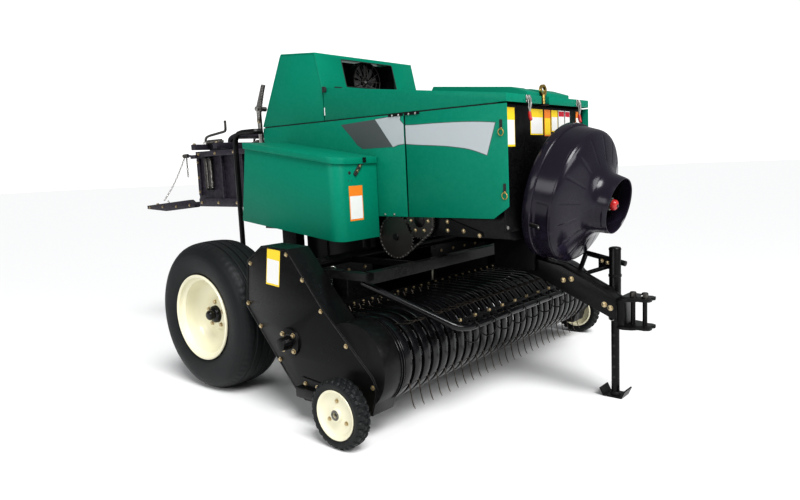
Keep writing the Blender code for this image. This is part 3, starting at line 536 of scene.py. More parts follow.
def eyeMaterial():
    # black strap below, brass above the height where the eye's shank leaves it
    material = finishMaterial("strapAndEye", **finishTable["blackPaint"])
    tree = material.node_tree
    shader = tree.nodes["Principled BSDF"]
    place = addNode(tree, "ShaderNodeTexCoord").outputs["Object"]
    height = addNode(tree, "ShaderNodeSeparateXYZ", {0: place})
    above = addNode(tree, "ShaderNodeMath", {0: height.outputs["Z"], 1: liftingEye["shankLevel"]},
                    operation="GREATER_THAN")
    before = shader.inputs["Base Color"].links[0].from_socket
    toned = addNode(tree, "ShaderNodeMix", {"Factor": above.outputs[0], 6: before}, data_type="RGBA")
    toned.inputs[7].default_value = liftingEye["brass"]
    tree.links.new(toned.outputs[2], shader.inputs["Base Color"])
    tree.links.new(above.outputs[0], shader.inputs["Metallic"])
    return material


finishMaterials["strapAndEye"] = eyeMaterial()
dressNode("lifting_spine", "strapAndEye", 0.0)
print("kept nodes dressed")


def boltShape(size, height, washer=1.25):
    # six flats under a domed top, on a round washer, along +Z
    head = turnedShape([(0, height), (size * 0.75, height), (size * 0.97, height * 0.88),
                        (size, height * 0.75), (size, size * 0.16),
                        (0, size * 0.16)], (0, 0, 0), (0, 0, 1), 6, closed=False)
    ring = turnedShape([(0, size * 0.2), (size * washer, size * 0.2), (size * washer, -0.001),
                        (0, -0.001)],
                       (0, 0, 0), (0, 0, 1), 12, closed=False)
    return joined(head, ring)


def bolts(places, directions, size=0.009, height=0.008):
    return repeatedShape(boltShape(size, height), places, directions)


def rivets(places, directions, size=0.004):
    dome = turnedShape([(0, size * 0.55), (size * 0.6, size * 0.42), (size, 0), (0, -0.0005)],
                       (0, 0, 0), (0, 0, 1), 10, closed=False)
    return repeatedShape(dome, places, directions)


def between(start, end, count):
    share = np.linspace(0, 1, count)[:, None]
    return np.asarray(start, float) * (1 - share) + np.asarray(end, float) * share


def springShape(start, end, radius, wire, turns, stepsPerTurn=14, sides=6):
    # a helix about the line from start to end: a circle of the coil's radius plus a steady rise
    start, end = np.asarray(start, float), np.asarray(end, float)
    across, other, along = basis(end - start)
    share = np.linspace(0, 1, int(turns * stepsPerTurn))[:, None]
    angle = share * turns * 2 * math.pi
    path = start + (end - start) * share + radius * (np.cos(angle) * across + np.sin(angle) * other)
    return sweptShape(path, wire, along, sides)


def chainShape(points, link=0.030, wire=0.0028, width=0.010):
    # oval links, each a closed ring carried along the line, with every second one turned a quarter
    points = np.asarray(points, float)
    lengths = np.linalg.norm(np.diff(points, axis=0), axis=1)
    total = lengths.sum()
    count = int(total / (link * 0.72))
    places = (np.arange(count) + 0.5) / count * total
    ends = np.concatenate([[0], np.cumsum(lengths)])
    centres = np.stack([np.interp(places, ends, points[:, axis]) for axis in range(3)], -1)
    ahead = np.stack([np.interp(np.minimum(places + 0.004, total), ends, points[:, axis])
                      for axis in range(3)], -1)
    behind = np.stack([np.interp(np.maximum(places - 0.004, 0), ends, points[:, axis])
                       for axis in range(3)], -1)
    angles = np.linspace(0, 2 * math.pi, 12, endpoint=False)
    made = []
    for number, (centre, along) in enumerate(zip(centres, unit(ahead - behind))):
        across, other, _ = basis(along)
        side, up = (across, other) if number % 2 else (other, across)
        ring = (centre + np.cos(angles)[:, None] * along * (link / 2 - wire)
                + np.sin(angles)[:, None] * side * (width / 2))
        made.append(sweptShape(ring, wire, up, 5, closed=True))
    return joined(*made)


def decalParts(corners, plane, level, headShare, headFinish, bodyFinish="whiteVinyl", borderFinish=None,
               lift=0.0004):
    # a blank sign: a border sheet, a coloured head and a plain body, each a hair proud of the last
    corners = np.asarray(corners, float)          # top left, top right, low right, low left
    centre = corners.mean(axis=0)
    sense = 1 if lift > 0 else -1
    base = borderFinish or headFinish
    inner = centre + (corners - centre) * 0.90
    split = inner[[3, 2]] * headShare + inner[[0, 1]] * (1 - headShare)
    head = np.array([inner[0], inner[1], split[1], split[0]])
    body = np.array([split[0], split[1], inner[2], inner[3]])
    sheets = [(corners, 1, base), (head, 2, headFinish), (body, 2, bodyFinish)]
    return [(plateShape(outline, *sorted((level - sense * 0.0002, level + lift * rank)), plane, 0.0001),
             finish)
            for outline, rank, finish in sheets]


mainTyre = dict(radius=0.381, grooves=(-0.064, -0.022, 0.022, 0.064), grooveWidth=0.0062,
                grooveDepth=0.0085,
                sipes=64, sipeDepth=0.0022, steps=256)
axleAt = (-0.150, 0.829, 0.381)


def mainTyreShape(side):
    half = smoothCurve([(0.2060, 0.1060), (0.2200, 0.1150), (0.2420, 0.1245), (0.2750, 0.1305),
                        (0.3050, 0.1320), (0.3300, 0.1280),
                        (0.3500, 0.1190), (0.3640, 0.1060), (0.3725, 0.0900), (0.3775, 0.0680),
                        (0.3800, 0.0380), (0.3810, 0.0)], 74)
    # extra points are spread over the tread so that the grooves have crisp walls
    tread = np.linspace(0.084, 0.0, 60)
    outer = half[half[:, 1] > 0.085]
    treadRadius = np.interp(tread, half[::-1, 1], half[::-1, 0])
    right = np.vstack([outer, np.stack([treadRadius, tread], -1)])
    profile = np.vstack([right, (right * (1, -1))[::-1][1:]])

    def relief(angle, radius, height):
        # circular grooves are narrow smooth wells in r; the sipes are short cuts across each shoulder
        well = np.zeros_like(radius)
        for place in mainTyre["grooves"]:
            well = np.maximum(well, np.clip(1.6 - np.abs(height - place) / mainTyre["grooveWidth"]
                                            * 1.6, 0, 1))
        shoulder = np.clip(1 - np.abs(np.abs(height) - 0.097) / 0.016, 0, 1)
        cut = np.clip(4 * np.cos(angle * mainTyre["sipes"]) - 2.6, 0, 1) * np.clip(shoulder * 3, 0, 1)
        line = np.exp(-((radius - 0.343) / 0.0022) ** 2) + np.exp(-((radius - 0.322)
                / 0.0018) ** 2) * 0.6 + np.exp(-((radius - 0.236) / 0.002) ** 2)
        outward = np.sign(height) * line * 0.0009 * (np.abs(height) > 0.10)
        return radius - well * mainTyre["grooveDepth"] - cut * mainTyre["sipeDepth"], np.clip(height
                + outward, -0.1325, 0.1325)

    return turnedShape(profile, (axleAt[0], side * axleAt[1], axleAt[2]), (0, side, 0),
                       mainTyre["steps"], relief=relief)


mainRim = dict(bolts=5, boltCircle=0.064)


def mainWheel(side, name):
    at = np.array([axleAt[0], side * axleAt[1], axleAt[2]])
    out = np.array([0.0, side, 0.0])
    profile = [(0.0, 0.034), (0.072, 0.034), (0.078, 0.030), (0.083, 0.018), (0.092, 0.010),
               (0.120, 0.004), (0.150, 0.010),
               (0.168, 0.026), (0.180, 0.050), (0.184, 0.078), (0.188, 0.096), (0.198, 0.104),
               (0.203, 0.112), (0.204, 0.124),
               (0.208, 0.1285), (0.2135, 0.1300), (0.2185, 0.1280), (0.2205, 0.1230), (0.2195, 0.1190),
               (0.2165, 0.1215),
               (0.2120, 0.1230), (0.2085, 0.1200), (0.2075, 0.1120), (0.2050, 0.1050), (0.2045, 0.0),
               (0.2045, -0.1050),
               (0.2075, -0.1120), (0.2085, -0.1200), (0.2120, -0.1230), (0.2205, -0.1230),
               (0.2185, -0.1280), (0.2135, -0.1300),
               (0.2080, -0.1280), (0.2020, -0.1150), (0.1960, -0.1020), (0.1900, -0.0600),
               (0.1850, 0.0000), (0.1790, 0.0300),
               (0.1600, 0.0100), (0.1200, -0.0030), (0.0800, 0.0040), (0.0600, -0.0550),
               (0.0290, -0.0550), (0.0, -0.0550)]
    rim = turnedShape(profile, at, out, 96, closed=False)
    hub = turnedShape([(0.0, 0.086), (0.012, 0.086), (0.020, 0.084), (0.0245, 0.079), (0.026, 0.072),
                       (0.0265, 0.058), (0.034, 0.056),
                       (0.040, 0.052), (0.044, 0.046), (0.045, 0.036), (0.046, 0.0335), (0.0, 0.0330)],
                       at, out, 40, closed=False)
    turn = np.radians(np.arange(mainRim["bolts"]) * 360 / mainRim["bolts"] + 18)
    across, other, _ = basis(out)
    ring = np.cos(turn)[:, None] * across + np.sin(turn)[:, None] * other
    heads = bolts(at + out * 0.034 + ring * mainRim["boltCircle"], out, 0.0095, 0.011)
    valve = sweptShape([at + out * 0.060 + across * 0.176, at + out * 0.090 + across * 0.166], 0.004,
                       other, 8)
    makePiece("wheel_rim_" + name, "wheel_" + name, [(rim, "creamPaint"), (valve, "blackRubber")],
              ["main_rim_" + name])
    makePiece("wheel_hub_" + name, "wheel_" + name, [(hub, "blackGloss"), (heads, "goldZinc")])
    makePiece("wheel_tyre_" + name, "wheel_" + name, [(mainTyreShape(side), "rubber")],
              ["main_tyre_" + name], sharp=42)


gaugeWheel = dict(at=(0.948, 1.053, 0.143), radius=0.143, lugs=28, lugDepth=0.0075, steps=224)


def gaugeParts(side, name):
    at = np.array([gaugeWheel["at"][0], side * gaugeWheel["at"][1], gaugeWheel["at"][2]])
    out = np.array([0.0, side, 0.0])
    half = smoothCurve([(0.0985, 0.0265), (0.106, 0.0305), (0.116, 0.0335), (0.126, 0.0338),
                        (0.1335, 0.0315), (0.1385, 0.0280),
                        (0.1412, 0.0230), (0.1424, 0.0130), (0.1430, 0.0)], 30)
    profile = np.vstack([half, (half * (1, -1))[::-1][1:]])

    def relief(angle, radius, height):
        # blocks in three rows: the gaps between lugs, and the two lines between
        # the rows, go down by the lug depth
        middle = np.abs(height) < 0.0085
        phase = np.where(middle, math.pi, 0.0)
        gap = np.clip(3.2 * np.cos(angle * gaugeWheel["lugs"] + phase) - 1.5, 0, 1)
        line = np.clip(1.5 - np.abs(np.abs(height) - 0.0095) / 0.0022, 0, 1)
        tread = np.clip((radius - 0.128) / 0.006, 0, 1)
        return radius - np.maximum(gap, line) * tread * gaugeWheel["lugDepth"], height

    tyre = turnedShape(profile, at, out, gaugeWheel["steps"], relief=relief)
    rim = turnedShape([(0.0135, 0.0300), (0.026, 0.0300), (0.0285, 0.0280), (0.031, 0.0200),
                       (0.050, 0.0150), (0.070, 0.0145),
                       (0.082, 0.0180), (0.089, 0.0260), (0.0935, 0.0320), (0.0975, 0.0340),
                       (0.1015, 0.0338), (0.1030, 0.0310),
                       (0.0985, 0.0290), (0.0980, -0.0290), (0.1030, -0.0310), (0.1000, -0.0338),
                       (0.0940, -0.0330),
                       (0.0900, 0.0000), (0.0800, 0.0080), (0.0330, 0.0060), (0.0300, -0.0290),
                       (0.0135, -0.0290)], at, out, 72)
    across, other, _ = basis(out)
    turn = np.radians(np.array([90, 210, 330]))
    ring = np.cos(turn)[:, None] * across + np.sin(turn)[:, None] * other
    heads = bolts(at + out * 0.0150 + ring * 0.055, out, 0.0075, 0.007)
    nut = joined(turnedShape([(0.0125, 0.0315), (0.0205, 0.0315), (0.0215, 0.0300), (0.0125, 0.0295)],
                             at, out, 24))
    makePiece("gauge_wheel_disc_" + name, "gauge_" + name,
              [(rim, "creamPaint"), (heads, "goldZinc"), (nut, "darkSteel")],
              ["gauge_rim_" + name])
    makePiece("gauge_wheel_tyre_" + name, "gauge_" + name, [(tyre, "rubber")],
              ["gauge_tyre_" + name], sharp=42)


for side, name in ((-1, "right"), (1, "left")):
    mainWheel(side, name)
    gaugeParts(side, name)
print("wheels")


shield = dict(centre=(1.370, 0.0, 0.962), dip=14.0, steps=288, creases=16, creaseDepth=0.0022)
shieldDip = math.radians(shield["dip"])
shieldAlong = np.array([math.cos(shieldDip), 0.0, -math.sin(shieldDip)])


def shieldShape():
    outer = smoothCurve([(0.1245, 0.2995), (0.1275, 0.285), (0.1300, 0.268), (0.1335, 0.248),
                         (0.1390, 0.232), (0.1480, 0.219),
                         (0.1650, 0.205), (0.1900, 0.1935), (0.2150, 0.184), (0.2420, 0.174),
                         (0.2650, 0.1645), (0.2830, 0.155),
                         (0.2940, 0.146), (0.3005, 0.136), (0.3035, 0.124), (0.3050, 0.100),
                         (0.3060, 0.070), (0.3068, 0.042)], 90)
    flange = [(0.3110, 0.0405), (0.3140, 0.0385), (0.3150, 0.0350), (0.3150, 0.0040), (0.3135, 0.0010),
              (0.3100, 0.0000)]
    inner = [(0.3020, 0.0002), (0.3020, 0.040), (0.2980, 0.128), (0.2880, 0.143), (0.2620, 0.157),
             (0.2130, 0.176),
             (0.1650, 0.197), (0.1360, 0.224), (0.1260, 0.258), (0.1200, 0.292), (0.1205, 0.2980),
             (0.1225, 0.3000)]
    profile = np.vstack([outer, flange, inner])
    outerCount = len(outer)

    def relief(angle, radius, height):
        # shallow creases fan out over the cone, one panel is pressed into the drum
        # and one into the mouth barrel
        outside = np.zeros_like(radius)
        outside[:, :outerCount] = 1
        cone = np.clip((radius - 0.165) / 0.02, 0, 1) * np.clip((0.290 - radius) / 0.01, 0, 1) * outside
        crease = np.exp(-((np.mod(angle * shield["creases"] / (2 * math.pi) + 0.5, 1) - 0.5) * 22) ** 2)
        turned = np.mod(np.degrees(angle) - 200 + 180, 360) - 180
        drumPanel = np.clip((17 - np.abs(turned)) / 1.4, 0,
                            1) * np.clip((0.033 - np.abs(height - 0.086)) / 0.003, 0, 1) * outside
        barrelPanel = (np.clip((24 - np.abs(turned - 4)) / 2.4, 0,
                               1) * np.clip((0.018 - np.abs(height - 0.262)) / 0.003, 0, 1)
                       * outside * (radius < 0.15))
        seam = np.exp(-((height - 0.128) / 0.0016) ** 2) * outside * (radius > 0.29)
        lowered = cone * crease * shield["creaseDepth"]
        sunk = drumPanel * 0.0028 + barrelPanel * 0.002 + seam * 0.0012 + lowered * 0.4
        return radius - sunk, height - lowered

    return turnedShape(profile, shield["centre"], shieldAlong, shield["steps"], relief=relief)


makePiece("shield_shell", "frame", [(shieldShape(), "plumPlastic")],
          ["flywheel_shield"], sharp=50)


def shieldPoint(angle, radius, height):
    across, other, along = basis(shieldAlong)
    turn = math.radians(angle)
    return (np.asarray(shield["centre"]) + height * along + radius
            * (math.cos(turn) * across + math.sin(turn) * other),
            math.cos(turn) * across + math.sin(turn) * other)


def shieldTrim():
    across, other, along = basis(shieldAlong)
    parts = []
    for angle in (62, 204, 262, 332):
        point, outwards = shieldPoint(angle, 0.3075, 0.052)
        sideways = np.cross(along, outwards)
        axes = (along, sideways, outwards)
        strap = plateShape(roundedOutline([(-0.034, -0.011), (0.036, -0.011), (0.036, 0.011),
                                           (-0.034, 0.011)], 0.005),
                           0.0, 0.0035, axes, 0.0008, point)
        lever = plateShape(roundedOutline([(-0.010, -0.006), (0.030, -0.006), (0.030, 0.006),
                                           (-0.010, 0.006)], 0.003),
                           0.0035, 0.0100, axes, 0.001, point)
        parts += [(strap, "darkSteel"), (lever, "blackPaint"),
                  (rivets([point + along * s + outwards * 0.0035 for s in (-0.026, 0.030)], outwards,
                          0.0045), "zinc")]
    angles = np.radians(np.arange(0, 360, 30) + 15)
    places = (np.asarray(shield["centre"]) + along * 0.0385
              + 0.3110 * (np.cos(angles)[:, None] * across + np.sin(angles)[:, None] * other))
    parts.append((rivets(places, along, 0.0035), "darkSteel"))
    makePiece("shield_clips", "frame", parts)
    at = np.asarray(shield["centre"])
    cap = turnedShape([(0, 0.292), (0.010, 0.2915), (0.019, 0.288), (0.0235, 0.282), (0.0245, 0.270),
                       (0.0245, 0.2685), (0, 0.2685)],
                      at, shieldAlong, 32, closed=False)
    tip = bolts([at + shieldAlong * 0.2918], shieldAlong, 0.006, 0.005)
    teeth = turnedShape([(0.0222, 0.262), (0.0300, 0.262), (0.0300, 0.240), (0.0222, 0.240)], at,
                        shieldAlong, 48,
                        relief=lambda angle, radius, height: (radius - 0.002
                                * (np.cos(angle * 12) > 0) * (radius > 0.025), height))
    makePiece("shaft_cap", "flywheel", [(cap, "redPlastic"), (tip, "darkSteel"), (teeth, "darkSteel")])


shieldTrim()
print("shield")


pickup = dict(reel=(0.920, 0.300), bandRadius=0.185, bands=27, span=1.600, bandWidth=0.044,
              thickness=0.005,
              bars=(-14.0, 76.0, 166.0, 256.0), barRadius=0.125, tineReach=0.268, trail=34.0,
              wire=0.0026)


def bandShape(y):
    # the band's line runs forward over the reel and back under it, and its section
    # is a crowned strip with lips turned in
    centre = np.array(pickup["reel"])
    angles = np.radians(np.linspace(98, -100, 34))
    radius = pickup["bandRadius"] - 0.0008
    line = centre + radius * np.stack([np.cos(angles), np.sin(angles)], -1)
    line = np.vstack([between((0.688, 0.485), (0.860, 0.485), 5), line[1:],
                      [(0.870, 0.116), (0.800, 0.105), (0.716, 0.099)]])
    along = unit(np.gradient(line, axis=0))
    outwards = np.stack([-along[:, 1], along[:, 0]], -1)
    half, thick = pickup["bandWidth"] / 2, pickup["thickness"]
    across = np.array([-half, -half + 0.002, -half + 0.007, 0, half - 0.007, half - 0.002, half, half,
                       half - 0.004, 0, -half + 0.004, -half])
    depth = np.array([-0.007, -0.0022, -0.0006, 0, -0.0006, -0.0022, -0.007, -0.013, -0.007, -thick,
                      -0.007, -0.013])
    points = np.empty((len(line), len(across), 3))
    points[..., 0] = line[:, None, 0] + outwards[:, None, 0] * depth
    points[..., 1] = y + across
    points[..., 2] = line[:, None, 1] + outwards[:, None, 1] * depth
    return gridShape(points, wrapColumns=True, capEnds=True)


def pickupBands():
    places = np.linspace(-pickup["span"] / 2, pickup["span"] / 2, pickup["bands"])
    parts = [(bandShape(y), "blackGloss") for y in places]
    rails = [blockShape((0.660, -0.8290, 0.4640), (0.698, 0.8290, 0.4700)),
             blockShape((0.660, -0.8290, 0.4640), (0.666, 0.8290, 0.4955)),
             blockShape((0.692, -0.8290, 0.0865), (0.698, 0.8290, 0.1110)),
             blockShape((0.692, -0.8290, 0.0865), (0.730, 0.8290, 0.0920))]
    parts += [(rail, "blackPaint") for rail in rails]
    heads = bolts([(0.679, y, 0.4880) for y in places], (0, 0, 1), 0.0065, 0.006)
    parts.append((heads, "goldZinc"))
    makePiece("pickup_strippers", "pickup", parts, ["pickup_bands"])


pickupBands()


def tineShape():
    # one tine in the reel's own plane: a coil round the bar, then a line whose angle
    # lags behind as its radius grows
    share = np.linspace(0, 1, 13)
    radius = pickup["barRadius"] + 0.012 + (pickup["tineReach"] - pickup["barRadius"] - 0.012) * share
    lag = np.radians(pickup["trail"]) * (1 - (1 - share) ** 1.9)
    path = np.stack([radius * np.cos(-lag), np.zeros_like(share), radius * np.sin(-lag)], -1)
    wire = pickup["wire"] * np.interp(share, [0, 0.9, 1], [1, 0.92, 0.6])
    blade = sweptShape(path, wire, (0, 1, 0), 6)
    angle = np.linspace(0, 3.5 * 2 * math.pi, 40)
    coil = np.stack([pickup["barRadius"] + 0.0148 * np.cos(angle), np.linspace(-0.002, 0.018, 40),
                     0.0148 * np.sin(angle)], -1)
    return joined(blade, sweptShape(coil, pickup["wire"], (0, 1, 0), 6))


def reelTines():
    blade, faces = tineShape()
    spacing = pickup["span"] / (pickup["bands"] - 1)
    rows = -pickup["span"] / 2 + spacing / 2 + spacing * np.arange(pickup["bands"] - 1)
    made = []
    for bar in pickup["bars"]:
        turn = math.radians(bar)
        spin = np.array([[math.cos(turn), 0, math.sin(turn)], [0, 1, 0],
                         [-math.sin(turn), 0, math.cos(turn)]])
        turned = blade @ spin + np.array([pickup["reel"][0], 0, pickup["reel"][1]])
        copies = turned[None] + np.stack([0 * rows, rows, 0 * rows], -1)[:, None]
        made.append((copies.reshape(-1, 3), [[corner + copy * len(blade) for corner in face]
                                             for copy in range(len(rows)) for face in faces]))
    makePiece("reel_tines", "reel", [(joined(*made), "tineSteel")])


reelTines()

guard = dict(pivot=(0.830, 0.610), tube=(1.240, 0.420), half=0.620, radius=0.0158, rods=9,
             rodWire=0.0030, clamps=11)


def windguardParts():
    (px, pz), (tx, tz), half = guard["pivot"], guard["tube"], guard["half"]
    ends = [(px, 0.770, pz), (tx - 0.020, half, tz + 0.010), (tx, half - 0.060, tz)]
    path = [(x, -y, z) for x, y, z in ends] + [(x, y, z) for x, y, z in ends[::-1]]
    line = roundedPath(path, 0.060, 10)
    hoop = sweptShape(line, guard["radius"], (0.42, 0, 0.91), 20)
    parts = [(hoop, "blackGloss")]
    for y in np.linspace(-half + 0.10, half - 0.10, guard["rods"]):
        hook = smoothCurve([(tx + 0.004, y, tz + 0.016), (tx + 0.020, y, tz + 0.004),
                            (tx + 0.022, y, tz - 0.030), (tx + 0.008, y, tz - 0.062),
                            (tx - 0.026, y, tz - 0.078), (tx - 0.058, y, tz - 0.068)], 18)
        parts.append((sweptShape(hook, guard["rodWire"], (0, 1, 0), 8), "blackPaint"))
    bar = roundedOutline([(tx - 0.066, tz + 0.018), (tx - 0.030, tz + 0.018), (tx - 0.030, tz + 0.024),
                          (tx - 0.066, tz + 0.024)], 0.002, 3)
    parts.append((plateShape(bar, -half + 0.03, half - 0.03, "xz", 0.0008), "blackPaint"))
    for y in np.linspace(-half + 0.06, half - 0.06, guard["clamps"]):
        tab = plateShape(roundedOutline([(tx - 0.050, y - 0.012), (tx + 0.006, y - 0.012),
                                         (tx + 0.006, y + 0.012), (tx - 0.050, y + 0.012)], 0.004),
                         tz + 0.0125, tz + 0.0185, "xy", 0.001)
        parts.append((tab, "blackPaint"))
        parts.append((bolts([(tx - 0.048, y, tz + 0.024)], (0, 0, 1), 0.0085, 0.010), "goldZinc"))
    makePiece("windguard_hoop", "windguard", parts, ["windguard"])


windguardParts()

sidePlate = dict(face=0.955, decal=[(0.431, 0.769), (0.520, 0.758), (0.496, 0.595), (0.405, 0.603)],
                 screws=[(0.300, 0.690), (0.262, 0.500), (0.345, 0.400), (0.470, 0.262), (0.590, 0.130),
                         (0.820, 0.128), (1.000, 0.140),
                         (1.040, 0.235), (0.900, 0.385), (0.760, 0.515), (0.655, 0.640),
                         (0.560, 0.745)])


def pickupSideTrim(side, name):
    face = side * sidePlate["face"]
    out = np.array([0.0, side, 0.0])
    parts = [(bolts([(x, face, z) for x, z in sidePlate["screws"]], out, 0.0085, 0.007), "goldZinc")]
    rim = np.array([(0.395, 0.768), (0.562, 0.761), (0.759, 0.532), (1.036, 0.274), (1.059, 0.229),
                    (1.025, 0.122), (0.622, 0.107),
                    (0.554, 0.156), (0.252, 0.486), (0.281, 0.699)])
    bead = roundedPath(np.vstack([rim, rim[:1]]), 0.03, 5)
    line = np.stack([bead[:, 0], np.full(len(bead), face), bead[:, 1]], -1)
    parts.append((sweptShape(line, 0.0020, (0, 1, 0), 6), "blackSatin"))
    centre = (0.550, 0.354)
    turn = np.radians([45, 135, 225, 315])
    heads = [(centre[0] + 0.050 * math.cos(a), side * 0.968, centre[1] + 0.050 * math.sin(a))
             for a in turn]
    parts.append((bolts(heads, out, 0.0095, 0.010), "goldZinc"))
    cap = turnedShape([(0.0, 0.0585), (0.011, 0.0585), (0.0125, 0.056), (0.0125, 0.0480),
                       (0.0270, 0.0470), (0.0292, 0.040), (0.0320, 0.014),
                       (0.0380, 0.0132), (0.0, 0.0132)], (centre[0], side * 0.955, centre[1]), out, 32,
                       closed=False)
    parts.append((cap, "blackGloss"))
    slotPlate = plateShape(roundedOutline([(0.612, 0.209), (0.777, 0.196), (0.716, 0.100),
                                           (0.606, 0.145)], 0.012),
                           *sorted((face, face + side * 0.006)), "xz", 0.001)
    parts.append((slotPlate, "blackPaint"))
    parts.append((bolts([(0.640, face + side * 0.006, 0.180), (0.716, face + side * 0.006, 0.178),
                         (0.640, face + side * 0.006, 0.140)],
                        out, 0.0085, 0.008), "goldZinc"))
    parts += decalParts(sidePlate["decal"], "xz", face, 0.26, "yellowVinyl", borderFinish="yellowVinyl",
                        lift=side * 0.0005)
    for place, radius in ((0.8340, 0.1875), (0.8480, 0.1862)):
        ring = turnedShape([(0.176, -0.0025), (radius, -0.0025), (radius + 0.0008, 0.0),
                            (radius, 0.0025), (0.176, 0.0025)],
                           (pickup["reel"][0], side * place, pickup["reel"][1]), out, 96)
        parts.append((ring, "blackGloss"))
    lift = [blockShape((0.672, min(side * 0.795, side * 0.789), 0.545),
                       (0.762, max(side * 0.795, side * 0.789), 0.665), 0.001),
            blockShape((0.675, min(side * 0.829, side * 0.796), 0.664),
                       (0.760, max(side * 0.829, side * 0.796), 0.670), 0.001)]
    parts += [(shape, "blackPaint") for shape in lift]
    parts.append((bolts([(0.700, side * 0.789, 0.575), (0.735, side * 0.789, 0.575),
                         (0.718, side * 0.789, 0.625)], -out, 0.009, 0.009), "zinc"))
    parts.append((springShape((0.640, side * 0.770, 0.560), (0.655, side * 0.770, 0.672), 0.011, 0.0024,
                              11), "zinc"))
    makePiece("pickup_side_trim_" + name, "pickup", parts)


for side, name in ((-1, "right"), (1, "left")):
    pickupSideTrim(side, name)


def pickupBackSheets():
    # folded sheets that close the back of the pickup on both sides of the throat
    parts = []
    for side in (-1, 1):
        low, high = sorted((side * 0.2720, side * 0.8290))
        parts.append((blockShape((0.4215, low, 0.3480), (0.4245, high, 0.6320), 0.0008), "blackPaint"))
        parts.append((blockShape((0.4100, low, 0.6050), (0.4212, high, 0.6080), 0.0008), "blackPaint"))
        places = [(0.4246, side * y, 0.590) for y in (0.330, 0.450, 0.570, 0.690, 0.790)]
        parts.append((bolts(places, (1, 0, 0), 0.0080, 0.007), "goldZinc"))
    makePiece("pickup_back_sheets", "pickup", parts)


pickupBackSheets()
print("pickup")


panel = dict(half=0.390, lift=0.0006)
greyMark = [(0.367, 1.322), (0.603, 1.332), (0.710, 1.195), (0.512, 1.195), (0.476, 1.214),
            (0.440, 1.253)]
silverTop = smoothCurve([(0.603, 1.332), (0.750, 1.337), (0.760, 1.318), (0.7815, 1.296)], 16)
silverDoorTop = smoothCurve([(0.7925, 1.291), (0.850, 1.289), (0.960, 1.288), (1.100, 1.284),
                             (1.200, 1.278), (1.285, 1.269)], 26)
silverDoorLow = smoothCurve([(1.240, 1.136), (1.150, 1.165), (1.060, 1.180), (0.991, 1.188),
                             (0.890, 1.196), (0.7925, 1.205)], 24)
silverLow = smoothCurve([(0.7815, 1.206), (0.745, 1.204), (0.728, 1.199), (0.710, 1.195)], 8)


def panelDecals():
    level = -panel["half"]
    silver = np.vstack([silverTop, silverLow])
    door = np.vstack([silverDoorTop, silverDoorLow])
    for outline, finish, body, name in ((greyMark, "greyVinyl", "frame", "side_stripe_grey"),
                                        (silver, "silverVinyl", "frame", "side_stripe_silver"),
                                        (door, "silverVinyl", "door_right", "door_stripe_silver")):
        sheet = plateShape(outline, level - panel["lift"], level + 0.0002, "xz", 0.00015)
        parts = [(sheet, finish)]
        if name != "side_stripe_grey":
            edge = insetOutline(np.asarray(outline, float), -0.0028)
            edge[:, 0] = np.clip(edge[:, 0], 0.603, None) if body == "frame" else edge[:, 0]
            edge[:, 0] = np.minimum(edge[:, 0], 0.7818) if body == "frame" else np.maximum(edge[:, 0],
                    0.7922)
            parts.append((plateShape(edge, level - 0.0003, level + 0.0002, "xz", 0.0001), "greyVinyl"))
        makePiece(name, body, parts)


panelDecals()


def latchParts(x, z, side):
    # a dark plate on the face stands in for a sunk slot, painted shade, with a brass ring pull hanging
    # under it
    face = side * panel["half"]
    out = np.array([0.0, side, 0.0])
    slotShade = plateShape(roundedOutline([(x - 0.007, z + 0.014), (x + 0.007, z + 0.014),
                                      (x + 0.007, z + 0.052), (x - 0.007, z + 0.052)], 0.004),
                      *sorted((face - side * 0.001, face + side * 0.0016)), "xz", 0.0005)
    boss = turnedShape([(0, 0.0050), (0.0030, 0.0048), (0.0048, 0.0030), (0.0050, -0.0005),
                        (0, -0.0005)],
                       (x, face, z + 0.014), out, 20, closed=False)
    angles = np.linspace(0, 2 * math.pi, 28, endpoint=False)
    ring = np.stack([x + 0.0125 * np.cos(angles), face + side * (0.0030 + 0.0015 * np.sin(angles)),
                     z + 0.0145 * np.sin(angles)], -1)
    return [(slotShade, "blackRubber"), (boss, "brass"),
            (sweptShape(ring, 0.0024, (0, 1, 0), 8, closed=True), "brass")]


def hingeStrip(side, z=1.3462):
    # a flat hinge over the split, its knuckle between the panel's leaf and the door's
    face = side * (panel["half"] + 0.0002)
    low, high = sorted((face, face + side * 0.0035))
    leafPanel = plateShape(roundedOutline([(0.690, z - 0.010), (0.781, z - 0.010), (0.781, z + 0.001),
                                           (0.690, z + 0.001)], 0.003), low, high, "xz", 0.0007)
    leafDoor = plateShape(roundedOutline([(0.793, z - 0.010), (0.880, z - 0.010), (0.880, z + 0.001),
                                          (0.793, z + 0.001)], 0.003), low, high, "xz", 0.0007)
    out = (0, side, 0)
    edge = face + side * 0.0035
    return ([(leafPanel, "blackPaint"),
             (bolts([(0.716, edge, z - 0.0045), (0.756, edge, z - 0.0045)], out, 0.0048, 0.004),
              "zinc")],
            [(leafDoor, "blackPaint"), (bolts([(0.818, edge, z - 0.0045), (0.858, edge, z - 0.0045)],
                    out, 0.0048, 0.004), "zinc")])


